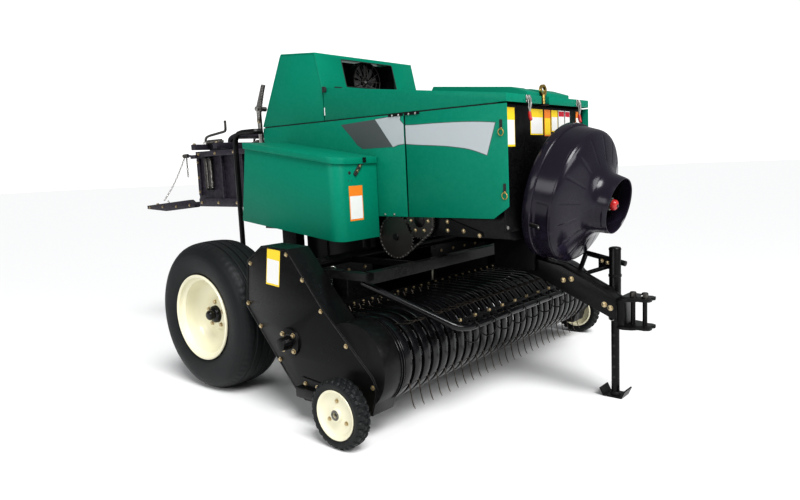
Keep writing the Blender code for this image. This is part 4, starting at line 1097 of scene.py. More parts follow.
def doorTrim(side, name):
    out = (0, side, 0)
    face = side * panel["half"]
    fixed, moving = hingeStrip(side)
    for x, z in ((1.313, 1.228), (1.324, 0.961)):
        moving += latchParts(x, z, side)
    fold = blockShape((0.7935, min(face - side * 0.0062, face - side * 0.022), 0.866),
                      (0.7965, max(face - side * 0.0062, face - side * 0.022), 1.322), 0.0008)
    moving.append((fold, "greenPaint"))
    fixed.append((rivets([(x, face, z) for x, z in ((0.760, 1.150), (0.760, 0.955))], out, 0.0035),
                  "greenPaint"))
    fixed.append((bolts([(0.700, face + side * 0.0002, 0.872), (0.640, face + side * 0.0002, 0.872)],
                        out, 0.0055, 0.005), "zinc"))
    for z in (0.900, 1.300):
        knuckle = turnedShape([(0, 0.030), (0.0055, 0.030), (0.0062, 0.029), (0.0062, -0.029),
                               (0.0055, -0.030), (0, -0.030)],
                              (0.7870, side * 0.3800, z), (0, 0, 1), 16, closed=False)
        fixed.append((knuckle, "blackPaint"))
    makePiece("panel_hardware_" + name, "frame", fixed)
    makePiece("door_hardware_" + name, "door_" + name, moving)


for side, name in ((-1, "right"), (1, "left")):
    doorTrim(side, name)


def coverTrim(side, name):
    face = side * panel["half"]
    parts = []
    hingeBlock = plateShape(roundedOutline([(0.252, 1.494), (0.276, 1.494), (0.276, 1.5185),
                                            (0.264, 1.524), (0.252, 1.5215)], 0.006),
                            *sorted((face + side * 0.0002, face + side * 0.011)), "xz", 0.0015)
    parts.append((hingeBlock, "blackRubber"))
    link = sweptShape([(0.2545, face + side * 0.0022, 1.378), (0.2555, face + side * 0.0022, 1.418)],
                      0.0028, (1, 0, 0), 8)
    parts.append((link, "whitePaint"))
    front = between((1.3426, side * 0.150, 1.366), (1.3426, side * 0.350, 1.366), 3)
    parts.append((rivets(front, (1, 0, 0), 0.004), "greenPaint"))
    makePiece("cover_hardware_" + name, "cover_" + name, parts)


for side, name in ((-1, "right"), (1, "left")):
    coverTrim(side, name)


def hoodTrim():
    # rivet rows down the front slope, a folded edge round the fan window and a dark seam under it
    top, low = np.array((0.2012, 1.7022)), np.array((0.2432, 1.5202))
    normal = unit(np.array([1.0, 0, (low[0] - top[0]) / (top[1] - low[1])]))
    parts = []
    for y in (-0.340, -0.245, 0.245, 0.340):
        share = np.array([0.62, 0.80])
        places = [(top[0] + (low[0] - top[0]) * s + 0.0002, y + dy, top[1] + (low[1] - top[1]) * s)
                  for s in share for dy in (-0.022, 0.022)]
        parts.append((rivets(places, normal, 0.0034), "greenPaint"))
    slope = lambda z: top[0] + (low[0] - top[0]) * (top[1] - z) / (top[1] - low[1])
    window = roundedOutline([(-0.205, 1.5365), (0.205, 1.5365), (0.205, 1.6825), (-0.205, 1.6825)],
                            0.012, 5)
    line = np.stack([slope(window[:, 1]) - 0.001, window[:, 0], window[:, 1]], -1)
    parts.append((sweptShape(line, 0.0028, normal, 8, closed=True), "blackRubber"))
    parts.append((blockShape((0.2436, -0.300, 1.526), (0.2446, -0.245, 1.531), 0.0003), "blackRubber"))
    for side in (-1, 1):
        edge = [(-0.2565, side * 0.3905, 1.356), (-0.068, side * 0.3905, 1.7255),
                (0.198, side * 0.3905, 1.6995), (0.2385, side * 0.3905, 1.5235)]
        parts.append((sweptShape(roundedPath(edge, 0.012, 5), 0.0012, (0, 1, 0), 6), "greenPaint"))
    makePiece("hood_trim", "frame", parts)


hoodTrim()


def innerSheets():
    # seals behind the gaps over the side panels, the duct round the fan and the guards beside the needles
    parts = []
    guardOutline = roundedOutline([(-0.086, 0.7690), (0.0800, 0.7690), (0.0800, 0.452), (-0.010, 0.470),
                                   (-0.086, 0.600)], 0.015, 4)
    for side in (-1, 1):
        parts.append((plateShape(guardOutline, *sorted((side * 0.2680, side * 0.2640)), "xz", 0.0008),
                      "blackPaint"))
    for side in (-1, 1):
        parts.append((blockShape((-0.250, min(side * 0.3835, side * 0.3800), 1.335),
                                 (1.296, max(side * 0.3835, side * 0.3800), 1.3600), 0.0005),
                                 "blackRubber"))
    for y0, y1 in ((-0.240, -0.236), (0.236, 0.240)):
        parts.append((blockShape((0.078, y0, 1.515), (0.190, y1, 1.692), 0.0006), "blackSatin"))
    outer = [(-0.240, 1.500), (0.240, 1.500), (0.240, 1.696), (-0.240, 1.696)]
    back = roundedOutline(outer, 0.008, 4)
    parts.append((plateShape(back, 0.074, 0.078, "yz", 0.0008), "blackSatin"))
    makePiece("inner_sheets", "frame", parts)


innerSheets()

fanUnit = dict(centre=(0.130, 0.040, 1.585), blades=10, radius=0.098, pitch=32.0)


def fanParts():
    centre = np.asarray(fanUnit["centre"])
    chord = np.linspace(-0.5, 0.5, 7)
    spanShare = np.linspace(0, 1, 9)[:, None]
    made = []
    for number in range(fanUnit["blades"]):
        # a blade's chord turns less and its width grows with radius; its section is a shallow arc
        radius = 0.026 + (fanUnit["radius"] - 0.030) * spanShare
        width = 0.022 + 0.026 * spanShare
        pitch = np.radians(fanUnit["pitch"] - 12 * spanShare)
        along = chord * width
        camber = 0.004 * (1 - (2 * chord) ** 2)
        x = along * np.sin(pitch) + camber * np.cos(pitch)
        side = along * np.cos(pitch) - camber * np.sin(pitch) + 0.012 * spanShare ** 2
        turn = 2 * math.pi * number / fanUnit["blades"]
        y = radius * math.cos(turn) - side * math.sin(turn)
        z = radius * math.sin(turn) + side * math.cos(turn)
        front = centre + np.stack([x + 0.0008, y, z], -1)
        back = centre + np.stack([x - 0.0008, y, z], -1)
        made.append(gridShape(np.concatenate([front, back[:, ::-1]], 1), wrapColumns=True,
                              capEnds=True))
    hub = turnedShape([(0, 0.0165), (0.014, 0.016), (0.022, 0.013), (0.027, 0.006), (0.029, -0.012),
                       (0, -0.013)], centre, (1, 0, 0), 32, closed=False)
    nut = bolts([centre + (0.0165, 0, 0)], (1, 0, 0), 0.007, 0.006)
    makePiece("fan_blades", "fan", [(joined(*made), "castIron"), (hub, "blackSatin"), (nut, "zinc")],
              ["fan_rotor"])
    rings = []
    angles = np.linspace(0, 2 * math.pi, 48, endpoint=False)
    for radius in (0.040, 0.072, 0.104):
        ring = centre + np.stack([np.full(48, 0.034), radius * np.cos(angles), radius * np.sin(angles)],
                                 -1)
        rings.append(sweptShape(ring, 0.0014, (1, 0, 0), 6, closed=True))
    for a in np.radians(np.arange(0, 360, 30)):
        spoke = [centre + (0.034, 0.016 * math.cos(a), 0.016 * math.sin(a)),
                 centre + (0.034, 0.110 * math.cos(a), 0.110 * math.sin(a))]
        rings.append(sweptShape(spoke, 0.0014, (1, 0, 0), 6))
    makePiece("fan_guard", "frame", [(joined(*rings), "darkSteel")])


fanParts()
print("body")


frontSigns = dict(face=1.3165, top=1.332)


def frontTrim():
    face = frontSigns["face"]
    parts = []
    signs = [(-0.352, 0.068, 0.165, "yellowVinyl", "whiteVinyl", "yellowVinyl"),
             (-0.150, 0.115, 0.115, "yellowVinyl", "whiteVinyl", "yellowVinyl"),
             (-0.022, 0.060, 0.120, "orangeVinyl", "yellowVinyl", "orangeVinyl"),
             (0.046, 0.062, 0.100, "yellowVinyl", "whiteVinyl", "yellowVinyl"),
             (0.116, 0.060, 0.088, "redVinyl", "whiteVinyl", "whiteVinyl"),
             (0.184, 0.050, 0.088, "redVinyl", "whiteVinyl", "whiteVinyl"),
             (0.300, 0.050, 0.095, "orangeVinyl", "whiteVinyl", None)]
    for y, width, tall, head, body, border in signs:
        corners = [(y, frontSigns["top"]), (y + width, frontSigns["top"]),
                   (y + width, frontSigns["top"] - tall), (y, frontSigns["top"] - tall)]
        parts += decalParts(corners, "yz", face, 0.30, head, body, border, lift=0.0005)
    heads = [(face, y, z) for y in (-0.360, -0.200, 0.200, 0.360) for z in (0.822,)]
    parts.append((bolts(heads, (1, 0, 0), 0.0075, 0.006), "zinc"))
    makePiece("front_signs", "frame", parts)


frontTrim()


def drawLatch(y):
    # a silver body on the cover's front edge, a bail wire round it and a red grip hanging from its lever
    face = 1.3425
    plate = plateShape(roundedOutline([(y - 0.017, 1.3530), (y + 0.017, 1.3530), (y + 0.017, 1.3860),
                                       (y - 0.017, 1.3860)], 0.005),
                       face, face + 0.0035, "yz", 0.0008)
    arm = smoothCurve([(face + 0.006, y, 1.382), (face + 0.013, y, 1.366), (face + 0.012, y, 1.340),
                       (face + 0.008, y, 1.312)], 14)
    lever = sweptShape(arm, np.interp(np.linspace(0, 1, 14), [0, 0.3, 1], [0.0075, 0.0065, 0.0055]),
                       (0, 1, 0), 10)
    grip = smoothCurve([(face + 0.0085, y, 1.315), (face + 0.009, y, 1.300), (face + 0.013, y, 1.284),
                        (face + 0.016, y, 1.276)], 10)
    handle = sweptShape(grip, np.interp(np.linspace(0, 1, 10), [0, 0.2, 0.85, 1],
                                        [0.0060, 0.0080, 0.0075, 0.0050]), (0, 1, 0), 12)
    wire = smoothCurve([(face + 0.005, y - 0.013, 1.380), (face + 0.012, y - 0.013, 1.350),
                        (face + 0.009, y - 0.009, 1.330), (face + 0.008, y, 1.324),
                        (face + 0.009, y + 0.009, 1.330), (face + 0.012, y + 0.013, 1.350),
                        (face + 0.005, y + 0.013, 1.380)], 26)
    return [(plate, "zinc"), (lever, "zinc"), (handle, "redPlastic"),
            (sweptShape(wire, 0.0022, (1, 0, 0), 8), "zinc"),
            (rivets([(face + 0.0035, y + dy, 1.360) for dy in (-0.012, 0.012)], (1, 0, 0), 0.0034),
             "zinc")]


makePiece("draw_latch_right", "cover_right", drawLatch(-0.216))
makePiece("draw_latch_left", "cover_left", drawLatch(0.268))


def twineTrim(side, name):
    out = np.array([0.0, side, 0.0])
    front = 0.6012
    strap = np.array([(0.489, 1.141), (0.553, 1.070)])      # (y, z) of the strap's ends
    across = unit(strap[1] - strap[0])
    normal = np.array([-across[1], across[0]])
    outline = np.vstack([strap[0] + normal * 0.010, strap[0] - normal * 0.010,
                         strap[1] - normal * 0.010, strap[1] + normal * 0.010])
    outline = roundedOutline(outline, 0.008)
    outline[:, 0] *= side
    parts = [(plateShape(outline, front + 0.0006, front + 0.0075, "yz", 0.0015), "blackRubber")]
    heads = [(front + 0.0075, side * y, z)
             for y, z in (strap[0] + (strap[1] - strap[0]) * 0.42,
                          strap[0] + (strap[1] - strap[0]) * 0.72)]
    parts.append((bolts(heads, (1, 0, 0), 0.0062, 0.005), "goldZinc"))
    # a thin dark disc on the front stands in for a hole: painted shade
    holeShade = turnedShape([(0, 0.0008), (0.0070, 0.0008), (0.0085, 0.0002), (0.0085, -0.0005),
                        (0, -0.0005)], (front, side * 0.583, 1.082), (1, 0, 0), 20, closed=False)
    parts.append((holeShade, "blackRubber"))
    parts.append((rivets([(front, side * 0.572, 1.045), (front, side * 0.592, 1.045)], (1, 0, 0),
                         0.0028), "blackRubber"))
    sign = [(side * 0.557, 1.021), (side * 0.648, 1.021), (side * 0.648, 0.856), (side * 0.557, 0.856)]
    sign = [(y - side * 0.055, z) for y, z in sign]
    parts += decalParts(sign, "yz", front, 0.27, "orangeVinyl", "whiteVinyl", "orangeVinyl",
                        lift=0.0005)
    parts.append((rivets([(x, side * 0.6702, z)
                          for x, z in ((0.150, 0.985), (0.330, 0.960), (0.080, 1.170), (0.420, 1.115))],
                          out, 0.0042), "greenPaint"))
    foot = blockShape((-0.112, min(side * 0.430, side * 0.520), 0.800),
                      (0.020, max(side * 0.430, side * 0.520), 0.836), 0.004)
    parts.append((foot, "blackRubber"))
    makePiece("twine_box_trim_" + name, "frame", parts)
    top = lambda x: 1.247 + (1.146 - 1.247) / (0.597 + 0.064) * (x + 0.064)
    edge = [(x, side * 0.6785, top(x) - 0.014) for x in (-0.060, 0.500)]
    lid = [(sweptShape(edge, 0.0022, (0, 1, 0), 8), "greenPaint")]
    rows = [(x, side * y, top(x) + 0.0093) for x in (0.02, 0.50) for y in (0.45, 0.62)]
    lid.append((rivets(rows, (0.15, 0, 0.99), 0.0040), "greenPaint"))
    catch = plateShape([(side * 0.478, 1.128), (side * 0.500, 1.128), (side * 0.500, 1.152),
                        (side * 0.478, 1.152)], 0.6105, 0.6135, "yz", 0.0008)
    lid.append((catch, "blackPaint"))
    makePiece("twine_lid_trim_" + name, "lid_" + name, lid)


for side, name in ((-1, "right"), (1, "left")):
    twineTrim(side, name)
print("twine boxes")


drive = dict(centre=(0.840, 0.842), radius=0.082, teeth=32, small=(0.690, 0.762), smallRadius=0.104,
             smallTeeth=40, y=-0.370, pitch=0.01905)


def gearShape(centre, radius, teeth, low, high):
    # the rim's radius swings with the tooth count; the wheel is a plate between two heights
    steps = teeth * 8
    angles = np.linspace(0, 2 * math.pi, steps, endpoint=False)
    swing = np.clip(np.cos(angles * teeth) * 1.5, -0.8, 0.8) * 0.0055
    outline = np.stack([centre[0] + (radius + swing) * np.cos(angles),
                        centre[1] + (radius + swing) * np.sin(angles)], -1)
    return plateShape(outline, low, high, "xz", 0.0008)


def rollerChain():
    # the chain's line: round the big wheel, straight to the small one, round it and back
    big, small = np.array(drive["centre"]), np.array(drive["small"])
    apart = small - big
    distance = np.linalg.norm(apart)
    lean = math.atan2(apart[1], apart[0])
    open_ = math.acos((drive["radius"] - drive["smallRadius"]) / distance)
    bigAngles = np.linspace(lean + open_, lean + 2 * math.pi - open_, 60)
    smallAngles = np.linspace(lean - open_, lean + open_, 24)
    round_ = lambda centre, radius, angles: centre + radius * np.stack([np.cos(angles), np.sin(angles)],
            -1)
    loop = np.vstack([round_(big, drive["radius"], bigAngles),
                      round_(small, drive["smallRadius"], smallAngles)])
    loop = np.vstack([loop, loop[:1]])
    lengths = np.concatenate([[0], np.cumsum(np.linalg.norm(np.diff(loop, axis=0), axis=1))])
    count = int(lengths[-1] / drive["pitch"])
    places = np.arange(count) * lengths[-1] / count
    flat = np.stack([np.interp(places, lengths, loop[:, axis]) for axis in range(2)], -1)
    ahead = np.roll(flat, -1, 0)
    roller = turnedShape([(0, 0.0085), (0.0030, 0.0085), (0.0034, 0.0078), (0.0055, 0.0050),
                          (0.0055, -0.0050), (0.0034, -0.0078), (0.0030, -0.0085),
                          (0, -0.0085)], (0, 0, 0), (0, 0, 1), 8, closed=False)
    rollers = repeatedShape(roller, np.stack([flat[:, 0], np.full(count, drive["y"]), flat[:, 1]], -1),
                            (0, 1, 0))
    waist = np.array([(-0.0080, 0.0), (-0.0055, 0.0058), (0.0, 0.0040), (0.0055, 0.0058), (0.0080, 0.0),
                      (0.0055, -0.0058), (0.0, -0.0040), (-0.0055, -0.0058)])
    plates = []
    for number, (one, two) in enumerate(zip(flat, ahead)):
        along = unit(two - one)
        across = np.array([-along[1], along[0]])
        outline = (one + two) / 2 + waist[:,
                                          :1] * along * (1 + 0.5 * np.linalg.norm(two - one)
                                                  / 0.019) * 0.95 + waist[:, 1:] * across
        off = 0.0066 if number % 2 else 0.0050
        for sign in (-1, 1):
            centreY = drive["y"] + sign * off
            plates.append(plateShape(outline, centreY - 0.0007, centreY + 0.0007, "xz", 0.0002))
    return joined(rollers, *plates)


def driveParts():
    y = drive["y"]
    big = gearShape(drive["centre"], drive["radius"], drive["teeth"], y - 0.0035, y + 0.0035)
    small = gearShape(drive["small"], drive["smallRadius"], drive["smallTeeth"], y - 0.0035, y + 0.0035)
    hub = turnedShape([(0, 0.0125), (0.010, 0.0125), (0.014, 0.0110), (0.0240, 0.0100),
                       (0.0300, 0.0075), (0.0310, 0.0000), (0.030, -0.0250), (0, -0.0250)],
                      (drive["centre"][0], y, drive["centre"][1]), (0, -1, 0), 32, closed=False)
    smallHub = turnedShape([(0, 0.0120), (0.016, 0.0115), (0.018, 0.0080), (0.018, -0.0240),
                            (0, -0.0240)],
                           (drive["small"][0], y, drive["small"][1]), (0, -1, 0), 24, closed=False)
    turn = np.radians(np.arange(0, 360, 60))
    heads = [(drive["centre"][0] + 0.052 * math.cos(a), y - 0.0035,
              drive["centre"][1] + 0.052 * math.sin(a)) for a in turn]
    parts = [(big, "darkSteel"), (small, "darkSteel"), (hub, "blackPaint"), (smallHub, "blackPaint"),
             (bolts(heads, (0, -1, 0), 0.0075, 0.006), "goldZinc"),
             (rollerChain(), "darkSteel")]
    makePiece("feed_chain_drive", "frame", parts, ["drive_sprocket"])


driveParts()


def undersideParts():
    # brackets, rods, bearing blocks and bolts that fill the space under the right-hand panels
    parts = []
    bracket = roundedOutline([(0.690, 0.772), (0.740, 0.772), (0.752, 0.861), (0.680, 0.861)], 0.010)
    parts.append((plateShape(bracket, -0.3560, -0.3490, "xz", 0.0012), "blackPaint"))
    block = roundedOutline([(0.470, 0.792), (0.540, 0.792), (0.540, 0.858), (0.470, 0.858)], 0.020)
    parts.append((plateShape(block, -0.3680, -0.3460, "xz", 0.003), "castIron"))
    parts.append((bolts([(x, -0.3680, z) for x in (0.485, 0.525) for z in (0.805, 0.845)], (0, -1, 0),
                        0.006, 0.006), "zinc"))
    brace = roundedOutline([(0.975, 0.780), (1.180, 0.770), (1.180, 0.795), (0.990, 0.858),
                            (0.975, 0.858)], 0.008)
    parts.append((plateShape(brace, -0.3540, -0.3480, "xz", 0.0012), "blackPaint"))
    parts.append((bolts([(0.990, -0.3540, 0.840), (0.990, -0.3540, 0.800), (1.165, -0.3540, 0.782),
                         (1.080, -0.3540, 0.800)], (0, -1, 0), 0.0080, 0.007), "goldZinc"))
    rod = sweptShape(smoothCurve([(0.400, -0.372, 0.800), (0.300, -0.374, 0.792),
                                  (0.120, -0.374, 0.798), (-0.060, -0.370, 0.812)], 20), 0.006,
                                  (0, 0, 1), 10)
    parts.append((rod, "zinc"))
    parts.append((springShape((0.100, -0.374, 0.797), (0.230, -0.374, 0.791), 0.012, 0.0024, 16),
                  "darkSteel"))
    heads = [(x, -0.3454, z) for x in (-0.120, 0.020, 0.180, 0.340, 0.440) for z in (0.840,)]
    parts.append((bolts(heads, (0, -1, 0), 0.0085, 0.007), "goldZinc"))
    heads = [(x, 0.3454, z) for x in (-0.120, 0.120, 0.340, 0.560, 0.780, 1.000) for z in (0.825,)]
    parts.append((bolts(heads, (0, 1, 0), 0.0085, 0.007), "goldZinc"))
    makePiece("underside_hardware", "frame", parts)


undersideParts()
print("drive")


def tongueTrim():
    top = [(1.345, 0.6275), (1.405, 0.6165), (1.600, 0.5230), (1.660, 0.4815)]
    parts = []
    for y in (-0.030, 0.030):
        parts.append((sweptShape([(x, y, z - 0.0010) for x, z in top], 0.0026, (0, 1, 0), 6),
                      "blackPaint"))
    weld = [(1.6675, y, z) for y, z in ((-0.052, 0.392), (-0.052, 0.470), (-0.030, 0.478),
                                        (0.030, 0.478), (0.052, 0.470), (0.052, 0.392))]
    line = roundedPath(weld, 0.010, 4)
    ripple = 0.0038 + 0.0008 * np.sin(np.arange(len(line)) * 2.4)
    parts.append((sweptShape(line, ripple, (1, 0, 0), 8), "blackSatin"))
    for x in (1.722, 1.774):
        pin = turnedShape([(0, 0.0215), (0.0105, 0.0215), (0.0140, 0.0190), (0.0145, 0.0120),
                           (0.0145, 0.0005), (0, 0.0005)], (x, 0, 0.496), (0, 0, 1), 24, closed=False)
        parts.append((pin, "darkSteel"))
    clip = smoothCurve([(1.774, -0.012, 0.511), (1.774, -0.030, 0.509), (1.771, -0.034, 0.5075),
                        (1.768, -0.030, 0.5075), (1.768, 0.014, 0.5105)], 18)
    parts.append((sweptShape(clip, 0.0016, (0, 0, 1), 6), "zinc"))
    parts.append((bolts([(1.455, -0.0500, 0.560), (1.415, -0.0500, 0.552), (1.640, -0.0500, 0.445),
                         (1.612, -0.0500, 0.458)], (0, -1, 0), 0.0105, 0.009), "goldZinc"))
    makePiece("tongue_trim", "frame", parts)


tongueTrim()

jackUnit = dict(at=(1.605, 0.085))


def jackTrim():
    x, y = jackUnit["at"]
    cap = turnedShape([(0, 0.699), (0.016, 0.6985), (0.0245, 0.696), (0.0280, 0.690), (0.0280, 0.6855),
                       (0, 0.6855)], (x, y, 0), (0, 0, 1), 32, closed=False)
    collar = [turnedShape([(0.0267, z), (0.0295, z + 0.002), (0.0295, z + 0.012), (0.0267, z + 0.014)],
                          (x, y, 0), (0, 0, 1), 32) for z in (0.360, 0.560)]
    parts = [(cap, "blackPaint")] + [(ring, "blackPaint") for ring in collar]
    pin = sweptShape([(x, y - 0.040, 0.392), (x, y + 0.040, 0.392)], 0.0052, (0, 0, 1), 12)
    angles = np.linspace(0, 2 * math.pi, 24, endpoint=False)
    ring = np.stack([x + 0.014 * np.sin(angles), np.full(24, y - 0.041),
                     0.378 + 0.014 * np.cos(angles)], -1)
    parts += [(pin, "zinc"), (sweptShape(ring, 0.0016, (0, 1, 0), 6, closed=True), "zinc")]
    parts.append((bolts([(x - 0.062, 0.0665, z) for z in (0.448, 0.500)], (-1, 0, 0), 0.008, 0.007),
                  "goldZinc"))
    parts.append((bolts([(1.532, 0.1085, 0.626), (1.560, 0.1085, 0.618)], (0, -1, 0), 0.0075, 0.007),
                  "goldZinc"))
    parts.append((bolts([(1.532, 0.1190, 0.626), (1.560, 0.1190, 0.618), (1.442, 0.0680, 0.555)],
                        (0, 1, 0), 0.0075, 0.007), "goldZinc"))
    makePiece("jack_trim", "frame", parts)
    # thin dark discs on the leg stand in for the holes along it: painted shade
    holeShades = []
    for z in np.arange(0.090, 0.340, 0.050):
        holeShades.append(turnedShape([(0, 0.0008), (0.0052, 0.0008), (0.0066, 0.0003), (0.0066, -0.0010),
                                  (0, -0.0010)], (x, y - 0.0183, z), (0, -1, 0), 16, closed=False))
    foot = turnedShape([(0.0190, 0.0085), (0.0240, 0.0085), (0.0225, 0.0130), (0.0190, 0.0200)],
                       (x, y, 0), (0, 0, 1), 32)
    makePiece("jack_leg_trim", "jack", [(joined(*holeShades), "blackRubber"), (foot, "blackSatin")])


jackTrim()
print("tongue and jack")


def chamberSide(side):
    out = np.array([0.0, side, 0.0])
    parts = []
    for x in (-1.030, -0.985):
        parts.append((springShape((x, side * 0.274, 1.010), (x, side * 0.274, 1.200), 0.0135, 0.0030,
                                  24), "darkSteel"))
        for z in (1.000, 1.208):
            hook = turnedShape([(0, 0.007), (0.010, 0.006), (0.0145, 0.002), (0.0145, -0.004),
                                (0, -0.005)], (x, side * 0.274, z), (0, 0, 1), 14, closed=False)
            parts.append((hook, "blackPaint"))
    for x in (-0.860, -0.640, -0.420):
        rib = blockShape((x, min(side * 0.2563, side * 0.282), 0.9405),
                         (x + 0.010, max(side * 0.2563, side * 0.282), 1.2145), 0.002)
        parts.append((rib, "chamberPaint"))
    rail = plateShape(roundedOutline([(-1.150, 1.205), (-1.120, 1.205), (-1.120, 0.960),
                                      (-1.150, 0.960)], 0.006), *sorted((side * 0.2563, side * 0.2700)),
                                      "xz", 0.002)
    parts.append((rail, "chamberPaint"))
    heads = [(x, side * 0.2903, z) for x in (-1.090, -0.900, -0.700, -0.500, -0.340)
             for z in (0.914, 1.232)]
    parts.append((bolts(heads, out, 0.0085, 0.007), "goldZinc"))
    heads = [(-1.135, side * 0.2703, z) for z in (0.985, 1.080, 1.180)]
    parts.append((bolts(heads, out, 0.0075, 0.006), "goldZinc"))
    return parts


def chamberTop():
    parts = []
    for side in (-1, 1):
        y = side * 0.200
        for x in (-1.128, -0.893):
            block = turnedShape([(0, 0.020), (0.010, 0.020), (0.014, 0.016), (0.022, 0.014),
                                 (0.022, 0.0), (0, 0.0)], (x, y, 1.2985), (0, 0, 1), 6, closed=False)
            if x < -1:
                parts.append((block, "zinc"))
        parts.append((springShape((-1.100, y, 1.311), (-0.945, y, 1.311), 0.0125, 0.0032, 15),
                      "darkSteel"))
        screw = sweptShape([(-1.128, y, 1.311), (-0.930, y, 1.311)], 0.0065, (0, 1, 0), 12)
        parts.append((screw, "zinc"))
        parts.append((bolts([(-1.135, side * 0.285, 1.2985), (-0.880, side * 0.285, 1.2985)], (0, 0, 1),
                            0.009, 0.009), "goldZinc"))
        plate = plateShape(roundedOutline([(-0.580, side * 0.240), (-0.340, side * 0.240),
                                           (-0.340, side * 0.100), (-0.580, side * 0.100)], 0.01),
                                           1.2627, 1.2680, "xy", 0.001)
        parts.append((plate, "chamberPaint"))
        parts.append((bolts([(x, y2, 1.2680) for x in (-0.565, -0.355)
                             for y2 in (side * 0.225, side * 0.115)], (0, 0, 1), 0.0075, 0.006),
                             "goldZinc"))
    return parts


chamberTrim = chamberSide(-1) + chamberSide(1) + chamberTop()
makePiece("chamber_hardware", "frame", chamberTrim)


def chuteTrim():
    parts = []
    for side in (-1, 1):
        heads = [(x, side * 0.2862, z) for x,
                 z in ((-1.250, 0.894), (-1.420, 0.884), (-1.600, 0.880), (-1.780, 0.874))]
        parts.append((bolts(heads, (0, side, 0), 0.0075, 0.006), "goldZinc"))
        parts.append((bolts([(-1.700, side * 0.266, 0.8955)], (0, 0, 1), 0.009, 0.008), "goldZinc"))
        eye = np.linspace(0, 2 * math.pi, 16, endpoint=False)
        ring = np.stack([-1.550 + 0.009 * np.cos(eye), np.full(16, side * 0.266),
                         0.914 + 0.009 * np.sin(eye)], -1)
        parts.append((sweptShape(ring, 0.0025, (0, 1, 0), 6, closed=True), "zinc"))
    makePiece("chute_trim", "chute", parts)


chuteTrim()

# the chains hang outside the chute's rails, so that the folded chute passes between them
chuteChain = dict(top=(-1.230, -0.306, 1.214), foot=(-1.548, -0.299, 0.926), link=0.026, wire=0.0022,
                  width=0.0095)


def chains():
    top, foot = np.array(chuteChain["top"]), np.array(chuteChain["foot"])
    y = top[1]
    arm = [(-1.112, y, 1.2180), (-1.175, y, 1.226), (-1.232, y, 1.226)]
    hooks = [(sweptShape(smoothCurve(arm, 8), 0.007, (0, 1, 0), 10), "chamberPaint"),
             (bolts([(-1.234, y, 1.226)], (-1, 0, 0), 0.010, 0.010), "goldZinc"),
             (blockShape((-1.152, y - 0.006, 1.205), (-1.100, -0.2904, 1.2290), 0.002), "chamberPaint"),
             (springShape((-1.222, y, 1.226), (-1.185, y, 1.2265), 0.0115, 0.0022, 6), "darkSteel")]
    makePiece("chute_chain_arm", "frame", hooks)
    share = np.linspace(0, 1, 40)[:, None]
    line = top + (foot - top) * share + np.array([0.006, 0, -0.016]) * np.sin(math.pi * share)
    link, wire, width = chuteChain["link"], chuteChain["wire"], chuteChain["width"]
    stay = makePiece("chute_chain", "frame", [(chainShape(line, link, wire, width), "zinc")])
    loose = [(-1.205, y, 1.215), (-1.206, y, 1.150), (-1.204, y, 1.085)]
    makePiece("spare_chain", "frame", [(chainShape(loose, link, wire, width), "darkSteel")])
    tuple(top)
    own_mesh(stay)


chains()


def knotters():
    # twine discs, cam wheels with teeth, bill hooks and fingers on the knotter shaft
    parts = []
    for y in (-0.120, 0.120):
        at = (-0.020, y - 0.052, 1.440)
        parts.append((turnedShape([(0.021, 0.010), (0.100, 0.010), (0.112, 0.006), (0.116, 0.0),
                                   (0.112, -0.006), (0.090, -0.008), (0.021, -0.010)], at, (0, 1, 0),
                                   64,
                                  relief=lambda angle, radius, height: (radius - 0.006
                                          * (np.cos(angle * 36) > 0.2) * (radius > 0.105)
                                          * (np.cos(angle) > 0.2), height)), "castIron"))
        for dy in (-0.010, 0.000, 0.010):
            parts.append((turnedShape([(0.006, 0.0018), (0.034, 0.0018), (0.036, 0.0), (0.034, -0.0018),
                                       (0.006, -0.0018)], (0.060, y + dy, 1.350), (0, 1, 0), 40,
                                      relief=lambda angle, radius, height: (radius - 0.006
                                              * (np.cos(angle * 6) > 0.80) * (radius > 0.03), height)),
                                              "zinc"))
        hook = smoothCurve([(0.020, y, 1.330), (0.045, y + 0.004, 1.318), (0.072, y + 0.010, 1.316),
                            (0.088, y + 0.006, 1.326), (0.082, y, 1.336)], 20)
        parts.append((sweptShape(hook, np.interp(np.linspace(0, 1, 20), [0, 0.6, 1],
                [0.008, 0.006, 0.003]), (0, 0, 1), 10), "darkSteel"))
        finger = smoothCurve([(-0.095, y + 0.040, 1.290), (-0.120, y + 0.030, 1.320),
                              (-0.110, y - 0.010, 1.345), (-0.060, y - 0.030, 1.352)], 18)
        parts.append((sweptShape(finger, 0.0055, (1, 0, 0), 10), "darkSteel"))
        parts.append((bolts([(-0.0905, y + dy, z) for dy in (-0.018, 0.018)
                             for z in (1.300, 1.400, 1.470)], (-1, 0, 0), 0.0075, 0.007), "goldZinc"))
        parts.append((springShape((-0.060, y + 0.075, 1.330), (-0.060, y + 0.075, 1.415), 0.010, 0.0022,
                                  12), "zinc"))
    makePiece("knotter_details", "frame", parts)


knotters()


